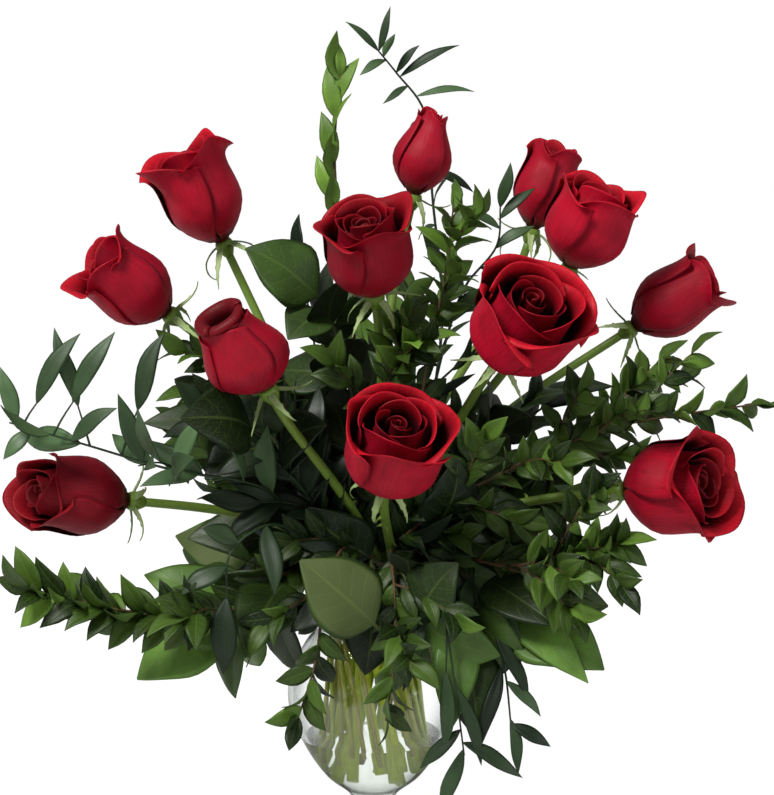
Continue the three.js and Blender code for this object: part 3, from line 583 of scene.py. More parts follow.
def petal_grid(layer, spike, turn, half, radius, height, mouth, flare, roll, wander):
    """The points of one petal over its two shares: across, from -1 to 1, and along, from foot to rim."""
    v, u = np.meshgrid(PETAL_STEPS, np.linspace(-1, 1, PETAL_COLUMNS), indexing="ij")
    p, q, r, w = wander
    spread = half * (0.5 + 0.5 * np.sin(np.minimum(1, v / 0.7) * math.pi / 2))
    angle = turn + u * spread
    # The petal lies on the bloom's own profile, so its corners stay on it where they drop.
    up = v * (1 - layer.drop * np.abs(u) ** 2.6 * v)
    belly = np.sin(np.minimum(1, (up + 0.05) / 0.47) * math.pi / 2) ** 0.85
    lip = flare * above(v, 0.66) ** 1.7 * (1 - 0.5 * u * u)
    out = radius * belly * (1 + (mouth - 1) * smooth(above(up, 0.42)) + layer.lap * u * v) + lip
    rise = height * up - 0.3 * lip
    # The rim rolls back, less so at its middle, which stays up as a soft point.
    curled = above(v, 0.80)
    aside = mix(1, smooth(np.clip(np.abs(u) / 0.8, 0, 1)), layer.point)
    flatter = 1 - layer.flat * smooth(np.clip((np.abs(u) - 0.7) / 0.3, 0, 1))
    bend = curled * mix(0.4, layer.curl, aside) * (1 + 0.15 * np.sin(2.2 * u + w)) * flatter
    around = roll * mix(0.75, 1.0, aside)
    out += around * (1 - np.cos(bend))
    rise += around * (np.sin(bend) - bend)
    narrow = np.exp(-((u - 0.12 * math.sin(p)) / 0.3) ** 2)
    out += spike[0] * narrow * above(v, 0.6) ** 1.6
    rise += spike[1] * narrow * curled ** 1.3
    # Low waves that no two petals share, and a fine ripple along the rim.
    out += radius * (0.028 * v ** 2 * np.sin(2.6 * u + p) + 0.012 * v ** 3 * np.sin(5.3 * u + q))
    rise += height * 0.010 * v ** 3 * np.sin(3.4 * u + r)
    out += 0.12 * curled * roll * np.sin(8.5 * u + r)
    return np.stack([out * np.cos(angle), out * np.sin(angle), rise], axis=2), u, v


def inside_share(layer):
    """1 in the heart of a bloom and 0 for its outermost petals."""
    return (0.96 - layer.radius) / 0.84


def make_bloom(rose):
    own = np.random.default_rng(int(rose.turn * 1000) + 7)
    shape = Shape()
    tilt, way = rose.tilt
    for number, layer in enumerate(PETAL_LAYERS):
        if rose.open < layer.opens or number in rose.skip:
            continue
        outermost = number == len(PETAL_LAYERS) - 1
        point, drop = layer.point * rose.point, layer.drop * rose.drop
        layer = layer._replace(point=point, drop=drop, flat=rose.flat)
        layer = layer._replace(**rose.layers.get(number, {}))
        lean = np.array([*rose.heart, 0]) * inside_share(layer) + [*rose.lean, 0]
        sunk = 1 - rose.sunk * inside_share(layer)
        loose = 0.3 if outermost else 1.0
        for i in range(layer.count):
            petal, flare, spike = layer, layer.flare, (0, 0)
            if outermost:
                petal = layer._replace(**rose.outer.get(i, {}))
                flare, spike = OUTER_FLARES[i], rose.petals.get(i, (0, 0.5))
            turn = rose.turn + petal.twist + FULL_TURN * i / petal.count
            tall = petal.height * rose.height * rose.tall * (1 - 0.03 * (i % 2)) * sunk
            mouth = mix(petal.shut, petal.wide, rose.open)
            grid, u, v = petal_grid(
                petal, spike,
                turn=turn + loose * own.uniform(-0.15, 0.15),
                half=petal.half * (1 + loose * own.uniform(-0.05, 0.05)),
                radius=petal.radius * rose.radius,
                height=tall * (1 + loose * own.uniform(-0.02, 0.02)),
                mouth=mouth * (rose.mouth_share if petal.radius > 0.5 else 1),
                flare=flare * (0.2 + 0.8 * rose.open) * rose.flare,
                roll=petal.roll * (0.35 + 0.65 * rose.open ** 0.7) * rose.roll,
                wander=own.uniform(0, FULL_TURN, 4),
            )
            ahead = grid[..., 0] * math.cos(way) + grid[..., 1] * math.sin(way)
            grid[..., 2] -= tilt * v ** 2 * (ahead + 0.3 * rose.radius)
            placed = rose.place((grid + lean * smooth(v)[..., None]).reshape(-1, 3)).reshape(grid.shape)
            add_blade(shape, placed, u, v, PETAL_THICKNESS, petal.radius)
    # A core, dark with painted shade, fills the bloom behind its petals.
    core = [(rose.radius * out, rose.height * up) for out, up in CORE_SHARES]
    add_turned(shape, [(0, 0.2), (4.5, 0.2), *core], ROUND_SIDES, rose.place, 0.2)
    material = petal_material("rose_petal_" + rose.name, rose.light, rose.heart_painted_light)
    shape.object("petals_" + rose.name, [material], ["rose_bloom_" + rose.name], "petals")


def rose_stem_line(rose):
    """The centre line of a rose's stem, from its cut end to its hip."""
    cut, neck, direction = stem_foot(rose.ring, rose.bearing)
    reach = np.linalg.norm(rose.base - neck)
    a, b = neck + 0.4 * reach * direction, rose.base - 0.3 * reach * rose.axis
    top = rose.base - (HIP_LENGTH - 1) * rose.axis
    t = np.linspace(0, 1, 40)[:, None]
    curve = (1 - t) ** 3 * neck + 3 * (1 - t) ** 2 * t * a + 3 * (1 - t) * t ** 2 * b + t ** 3 * top
    straight = cut + (neck - cut) * np.linspace(0, 1, 12)[:-1, None]
    return np.concatenate([straight, curve])


def sepal_grid(angle, fall, curl, length, twist):
    """A long pointed sepal that leaves the hip outwards, falls, and curls at its tip."""
    rows, columns = 25, 7
    s, x = np.meshgrid(np.linspace(0, 1, rows), np.linspace(-1, 1, columns), indexing="ij")
    width = 3.3 * (0.5 + 0.5 * smooth(np.minimum(1, s / 0.2))) * (1 - s) ** 1.15 + 0.22
    lobes = 0.5 * np.maximum(0, np.sin(9 * math.pi * s + twist)) ** 2
    width = width * (1 + lobes * (s > 0.3) * (s < 0.85))
    bend = fall + curl * s ** 2
    step = length / (rows - 1)
    out = np.cumsum(np.cos(bend), axis=0) * step
    down = np.cumsum(np.sin(bend), axis=0) * step
    swing = twist * s ** 2 * 6
    local = np.stack([3 + out, width * x + swing, -2.5 + down + 0.35 * np.abs(x) * width], axis=2)
    c, d = math.cos(angle), math.sin(angle)
    turn = np.array([[c, d, 0], [-d, c, 0], [0, 0, 1]])
    return local @ turn, x, s


def make_rose_stem(rose):
    own = np.random.default_rng(int(rose.turn * 1000) + 31)
    line = rose_stem_line(rose)
    shape = Shape()
    radii = np.linspace(ROSE_STEM_RADIUS * 1.02, ROSE_STEM_RADIUS * 0.84, len(line))
    add_rod(shape, line, radii, 12, own.uniform(0, 1))
    add_turned(shape, HIP_OUTLINE, ROUND_SIDES, rose.place, 0.5, along=0.8)
    for _ in range(THORNS):
        i = int(own.integers(*THORN_STEPS))
        tangent = unit(line[i + 1] - line[i - 1])
        side = turned_about(unit(np.cross(tangent, [0.3, 1, 0.2])), tangent, own.uniform(0, FULL_TURN))
        root = line[i] + side * ROSE_STEM_RADIUS * 0.7
        bends = [(0, 0), (1.6, 0.3), (3.0, 1.2), (3.9, 2.4)]
        thorn = [root + side * out - tangent * down for out, down in bends]
        add_rod(shape, thorn, [1.5, 0.9, 0.45, 0.08], 6, 0.9, start=0.5)
    for i in range(SEPALS):
        angle = rose.turn + FULL_TURN * i / SEPALS
        fall = -0.25 - 0.5 * ((i * 2) % SEPALS) / SEPALS
        curl, length = own.uniform(-2.4, 1.2), SEPAL_LENGTH * own.uniform(0.9, 1.25)
        grid, x, s = sepal_grid(angle, fall, curl, length, own.uniform(-1, 1))
        placed = rose.place(grid.reshape(-1, 3)).reshape(grid.shape)
        add_blade(shape, placed, x, s, SEPAL_THICKNESS, own.uniform(0.2, 1), slot=1)
    skins = [MATERIALS["rose_stem"], MATERIALS["sepal"]]
    shape.object("stem_" + rose.name, skins, ["rose_stem_" + rose.name], "rose_stems")


# --- Sprays of leaves ---

STEM_STEPS, FINE_STEPS = 6, 48
STRAIGHT_LENGTH = 22
LAST_SHARE = 0.985
LEAF_THICKNESS = 0.55
SAME_PLACE = 0.05
ROLLS = [0, 0.5, -0.5, 1, -1, 1.6, -1.6, 2.3, -2.3]
LIFTS = [0, -6, 6, -12, 12, -18, 18]
STALK_STEPS, TWIG_STEPS = 7, 13
FREE_LEAF_TRIES, TWIG_TRIES = 7, 10
FREE_LEAVES_START = 176
SHOWN = np.array([0, -0.8, 0.6])

# Balls that the finer leaves keep out of and don't hide: the blooms, two big leaves, the front stem
# and the mouth of the lower right rose.
KEPT_CLEAR = [(np.array(place, float), radius) for place, radius in (
    ([-66, 10, 348], 26), ([-26, -100, 172], 30), ([5, -66, 213], 19), ([4, -50, 199], 19),
    ([3, -38, 187], 15), ([207, -84, 242], 31),
)]
KEPT_CLEAR += [(mix(rose.base, rose.mouth, 0.5), max(rose.radius + 5, rose.height / 2)) for rose in ROSES]
# They keep out of the glass below its mouth, by more where it is wide.
GLASS_TOP, GLASS_SHOULDER = 172, 140
CLEAR_OF_BELLY, CLEAR_OF_NECK = 58, 48
# The arrangement is open at its front, under the lowest rose. Sprays that hang low leave less open.
OPEN_HALF_WIDTH, OPEN_FRONT, OPEN_TOP = 95, -66, 262
OPEN_BOTTOM, OPEN_BOTTOM_LOW = 148, 166
LOW_SPRAY = 100
LOWEST, HIGHEST = np.array(cad_low) / MM, np.array(cad_high) / MM
LEAF_CENTRES = []


def keeps_clear(foot, tip, lowest):
    """True if a leaf stays out of the blooms and the vase, and doesn't stand before a bloom."""
    open_bottom = OPEN_BOTTOM if lowest > LOW_SPRAY else OPEN_BOTTOM_LOW
    for point in (mix(foot, tip, 0.5), tip):
        x, y, z = point
        for centre, radius in KEPT_CLEAR:
            if np.linalg.norm(point - centre) < radius:
                return False
            sight = unit(centre - CAMERA_PLACE)
            offset = point - centre
            aside = np.linalg.norm(offset - sight * (offset @ sight))
            if aside < 0.95 * radius and offset @ sight < 0:
                return False
        if z < GLASS_TOP and np.hypot(x, y) < (CLEAR_OF_BELLY if z < GLASS_SHOULDER else CLEAR_OF_NECK):
            return False
        if abs(x) < OPEN_HALF_WIDTH and y < OPEN_FRONT and open_bottom < z < OPEN_TOP:
            return False
        if z < lowest or np.any(point < LOWEST) or np.any(point > HIGHEST):
            return False
    return True


def outwards(point):
    """The way that a leaf at a point turns its face: out of the bouquet, and up to the light."""
    radial = unit(point * [1, 1, 0.35] - [0, 0, 66])
    front = np.array([0, -0.6 if point[1] < 40 else 0.5, 0.35])
    return unit(radial + front)


def painted_light_share(point):
    """Painted light on a leaf's tone: from 0, in painted shade in the heart of the arrangement, to 1 at
    its outside.
    """
    middle, reach = np.array([0, 10, 225]), [165, 120, 150]
    away = np.linalg.norm((point - middle) / reach)
    shown = float(np.clip((away - 0.4) / 0.55, 0.0, 1.0))
    # Painted shade: leaves in the hollow at the front, under the lowest rose, are darkened.
    painted_hollow_shade = math.exp(-((point[0] - 10) / 75) ** 2 - ((point[2] - 218) / 40) ** 2) if point[1] < 20 else 0
    return shown * (1 - 0.85 * painted_hollow_shade)


def room(centre):
    """How far the nearest leaf is, squared, up to a limit where there is none."""
    if not LEAF_CENTRES:
        return 1e3
    return float(np.min(np.sum((np.array(LEAF_CENTRES) - centre) ** 2, axis=1)))


def along_line(points, share):
    """The point and direction at a share of a line drawn through points."""
    steps = len(points) - 1
    step = min(int(share * steps), steps - 1)
    here, there = points[step:step + 2]
    return mix(here, there, share * steps - step), unit(there - here)


def leaf_width(kind, s):
    """The leaf's outline: its half width at a share of its length, as a share of the widest."""
    if kind == "salal":
        t = np.clip((s - 0.12) / 0.88, 0, 1)
        return np.maximum(0.045, np.sin(math.pi * t ** 0.70) ** 0.72 * (1 - 0.30 * t ** 5))
    if kind == "ruscus":
        return np.maximum(0.03, np.sin(math.pi * s ** 0.92) ** 0.8 * (1 - 0.35 * s ** 6))
    return np.maximum(0.03, np.sin(math.pi * s ** 0.8) ** 0.85 * (1 - 0.2 * s ** 5))


# A kind's leaves: length, half width, fold along the rib, droop, how their edges wave and their blade
# cups, angle to the stem, turn from leaf to leaf, the length beyond which the rest is a stalk, and the
# rows and columns of the mesh. Its sprays: the stem's radii, how many finer leaves and side twigs there
# are, up to which share, their sizes, spacing, scatter and tone, and how flat they lie with their twig.
KINDS = {
    "ruscus": dict(
        length=38, half_width=6.6, fold=0.18, droop=0.1, wave=0.04, cup=0.1, angle=0.75, turn=2.75,
        longest=48, grid=(15, 7), stem=(1.5, 0.8), more=5, until=0.6, sizes=(0.85, 1.2), scatter=0.6,
        twigs=1, twig_length=55, spacing=12, tone=0.35, flat=0.6,
    ),
    "huckleberry": dict(
        length=21, half_width=5.2, fold=0.25, droop=0.12, wave=0.06, cup=0.08, angle=0.85, turn=2.4,
        longest=26, grid=(11, 7), stem=(1.6, 0.8), more=34, until=0.99, sizes=(0.85, 1.2), scatter=0.35,
        twigs=6, twig_length=50, spacing=5, tone=0.35, flat=1.6,
    ),
    "salal": dict(
        length=66, half_width=23, fold=0.16, droop=0.12, wave=0.06, cup=0.1, angle=0.9, turn=2.2,
        longest=72, grid=(21, 11), stem=(1.7, 1.1), more=7, until=0.97, sizes=(0.7, 0.95), scatter=1.0,
        twigs=2, twig_length=60, spacing=16, tone=0.25, flat=0.0,
    ),
}
# A spray's other options: chosen leaves that the solids lack, the ends of given side twigs, where its
# ruled leaves begin and how many there are, the share that stays bare of finer leaves, how slim leaves
# are, how much further they turn outwards, and the lowest height that finer leaves may reach.
SPRAY_OPTIONS = dict(extra=(), ends=(), begin=0, count=0, bare=0, slim=1, turned=0, lowest=106)


class Spray(SimpleNamespace):
    """A spray: the ring and bearing of its stem in the vase, the points that the stem passes, and its
    chosen leaves. Each of these has its share of the stem, its tip, its half width, and perhaps its
    tone, which is below 0 where the underside shows."""

    def __init__(self, kind, name, ring, bearing, via, tips=(), **options):
        name = f"{kind}_{name}"
        super().__init__(kind=kind, name=name, tips=tips, **{**KINDS[kind], **SPRAY_OPTIONS, **options})
        self.cut, neck, direction = stem_foot(ring, bearing)
        self.points = [neck, neck + STRAIGHT_LENGTH * direction, *np.array(via, float)]
        self.own = np.random.default_rng(sum(ord(c) * (i + 1) for i, c in enumerate(name)))
        self.shape = Shape()

    def at(self, share):
        return catmull_rom(self.points, [share])[0]

    def draw_tone(self, place, lowest):
        """A tone drawn for a leaf, with painted shade that darkens it in the heart of the arrangement."""
        tone = float(np.clip(self.own.normal(self.tone, 0.22), 0, 1))
        return tone * (lowest + (1 - lowest) * painted_light_share(place))

    def set_leaf(self, angle, point, along, phase, size):
        """The tip, face and half width of a leaf that leaves its stem at an angle, turned by a phase."""
        outward = turned_about(unit(np.cross([0, 1, 0], along)), along, phase)
        direction = along * math.cos(angle) + outward * math.sin(angle)
        face = along * math.sin(angle) - outward * math.cos(angle)
        return point + direction * self.length * size, face, self.half_width * size

    def add_leaf(self, foot, tip, face, half_width, tone, flip=False):
        """One leaf: folded along its rib, bent back towards its tip, and waved along its edges."""
        rows, columns = self.grid
        length = np.linalg.norm(tip - foot)
        along = (tip - foot) / length
        up = unit(face - along * (face @ along))
        right = np.cross(along, up)
        steps = (1 - np.cos(np.linspace(0, math.pi, rows))) / 2
        s, x = np.meshgrid(steps, np.linspace(-1, 1, columns), indexing="ij")
        half = half_width * self.slim * leaf_width(self.kind, s)
        p, q, r = self.own.uniform(0, FULL_TURN, 3)
        waves = self.wave * half * np.abs(x) ** 1.5 * np.sin(FULL_TURN * 2.2 * s + p + np.sign(x) * 0.8)
        height = self.fold * np.abs(x) * half + 4 * self.droop * length * s * (1 - s) + waves
        height -= self.cup * half * x ** 2
        sway = 0.03 * length * np.sin(math.pi * s) * math.sin(q)
        sway = sway + 0.02 * length * np.sin(FULL_TURN * s) * math.sin(r)
        aside = x * half + sway
        grid = foot + (s * length)[..., None] * along + aside[..., None] * right + height[..., None] * up
        add_blade(self.shape, grid, x, s, LEAF_THICKNESS, tone, flip=flip)

    def add_stalked_leaf(self, foot, tip, face, half_width, tone, flip=False):
        """Adds a leaf whose tip is further from its foot than the leaf is long: the rest is its stalk."""
        reach = tip - foot
        length = np.linalg.norm(reach)
        if length > self.longest:
            start = mix(foot, tip, 1 - self.longest / length)
            up = unit(face - reach * (face @ reach) / length ** 2)
            bow = [foot, mix(foot, start, 0.5) + up * 0.02 * length, start + reach * 0.04]
            self.add_twig_rod(bow, STALK_STEPS, 0.75, 0.45, 0.5)
            foot = start
        LEAF_CENTRES.append(mix(foot, tip, 0.5))
        self.add_leaf(foot, tip, face, half_width, tone, flip)

    def add_free_leaf(self, curve, share, side, angle):
        """Adds one of the finer leaves at a share of a curve, where most room is found for it."""
        foot, ahead = catmull_rom(curve, [share, min(1, share + 0.01)])
        along = unit(ahead - foot) if share < LAST_SHARE else unit(curve[-1] - curve[-2])
        found = []
        for attempt in range(FREE_LEAF_TRIES):
            size = self.own.uniform(*self.sizes)
            phase = side * math.pi + self.own.normal(0, self.scatter * (1 + attempt * 0.4))
            leaf = self.set_leaf(angle * self.own.uniform(0.8, 1.2), foot, along, phase, size)
            if keeps_clear(foot, leaf[0], self.lowest):
                found.append((room(mix(foot, leaf[0], 0.55)), *leaf))
        if not found:
            return
        _, tip, face, half_width = max(found, key=itemgetter(0))
        # The small leaves lie flat, in the plane of their twig.
        flat = unit(np.cross(along, tip - foot))
        flat *= 1 if flat @ outwards(tip) > 0 else -1
        face = unit(face + 1.6 * outwards(tip) + self.flat * flat)
        LEAF_CENTRES.append(mix(foot, tip, 0.55))
        self.add_leaf(foot, tip, face, half_width, self.draw_tone(tip, 0.08))

    def add_twig_rod(self, points, steps, thick, thin, tone):
        line, radii = catmull_rom(points, np.linspace(0, 1, steps)), np.linspace(thick, thin, steps)
        add_rod(self.shape, line, radii, 6, tone, slot=1, start=0.5)

    def add_twig(self, share, given=None):
        """A side twig with leaves of its own: a short one where there is room, or one to a given end."""
        foot, ahead = catmull_rom(self.points, [share, share + 0.01])
        tangent = unit(ahead - foot)
        found = [] if given is None else [(0, given, np.linalg.norm(given - foot))]
        for _ in range(TWIG_TRIES if given is None else 0):
            phase = self.own.uniform(0, FULL_TURN)
            outward = turned_about(unit(np.cross([0, 1, 0], tangent)), tangent, phase)
            direction = unit(tangent * 0.7 + outward * 0.8 + 0.35 * outwards(foot))
            length = self.twig_length * self.own.uniform(0.7, 1.15)
            end = foot + direction * length
            if keeps_clear(mix(foot, end, 0.5), end, self.lowest):
                found.append((room(mix(foot, end, 0.7)), end, length))
        if not found:
            return
        _, end, length = max(found, key=itemgetter(0))
        twig = [foot, mix(foot, end, 0.5) + np.array([0, 0, 0.07 * length]), end]
        self.add_twig_rod(twig, TWIG_STEPS, 0.9, 0.4, self.own.uniform(0, 1))
        count = int(length / self.spacing)
        for index in range(count):
            part = 0.12 + 0.88 * (index + 0.5) / count
            angle = 0.3 if index == count - 1 else self.angle * (1.1 - 0.4 * part)
            self.add_free_leaf(twig, part, index, angle)

    def add_stem(self):
        thick, thin = self.stem
        straight = self.cut + (self.points[0] - self.cut) * np.linspace(0, 1, 8)[:-1, None]
        line = np.concatenate([straight, catmull_rom(self.points, np.linspace(0, 1, FINE_STEPS + 1))])
        radii = np.concatenate([np.full(7, thick), np.linspace(thick, thin * 0.7, FINE_STEPS + 1)])
        add_rod(self.shape, line, radii * 0.95, 8, self.own.uniform(0, 1), slot=1)

    def add_solid_leaves(self):
        """The leaves of the solids. One whose tip isn't among the solid's points is left out."""
        solid = np.array([v.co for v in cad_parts[self.name].data.vertices]) / MM

        def is_solid(tip):
            return np.min(np.sum((solid - tip) ** 2, axis=1)) < SAME_PLACE ** 2

        for entry in [*self.tips, *self.extra]:
            share, x, y, z, half_width, *given = entry
            foot = self.at(min(share, LAST_SHARE))
            for lift in LIFTS:
                tip = np.array([x, y + lift, z], float)
                if entry in self.extra or is_solid(tip):
                    tone = given[0] if given else self.draw_tone(tip, 0.12)
                    self.add_stalked_leaf(foot, tip, SHOWN, half_width, abs(tone), tone < 0)
                    break
        line = catmull_rom(self.points, np.linspace(0, 1, STEM_STEPS + 1))
        for index in range(self.count):
            last = index == self.count - 1
            share = LAST_SHARE if last else self.begin + (1 - self.begin) * ((index + 0.5) / self.count)
            point, tangent = along_line(line, share)
            angle = 0.15 if last else self.angle
            size = 0.86 + 0.28 * ((index * 0.618) % 1) - 0.2 * max(0, share - 0.8)
            for roll in ROLLS:
                phase = index * self.turn + roll
                tip, face, half_width = self.set_leaf(angle, point, tangent, phase, size)
                if is_solid(tip):
                    foot = self.at(share)
                    face = unit(face + (0.5 + self.turned) * outwards(tip) + [0, -self.turned, 0])
                    self.add_stalked_leaf(foot, tip, face, half_width, self.draw_tone(tip, 0.1))
                    break

    def add_finer_leaves(self):
        """The finer leaves and twigs between them, which the solids leave out."""
        start = next(share for share in np.linspace(0, 1, 101) if self.at(share)[2] > FREE_LEAVES_START)
        start = max(start, self.bare)
        for index in range(self.more):
            share = start + (self.until - start) * (index + self.own.uniform(0.2, 0.8)) / self.more
            self.add_free_leaf(self.points, share, index, self.angle)
        for index in range(self.twigs):
            part = (0.85 * self.until - start) * (index + self.own.uniform(0.2, 0.8)) / self.twigs
            self.add_twig(start + part)
        for end in self.ends:
            self.add_twig(0.9, np.array(end, float))

    def make(self):
        self.add_stem()
        self.add_solid_leaves()
        self.add_finer_leaves()
        skins = [MATERIALS[self.kind], MATERIALS[self.kind + "_twig"]]
        self.shape.object("spray_" + self.name, skins, [self.name], self.kind + "_leaves")


salal, ruscus, huckleberry = (partial(Spray, kind) for kind in ("salal", "ruscus", "huckleberry"))
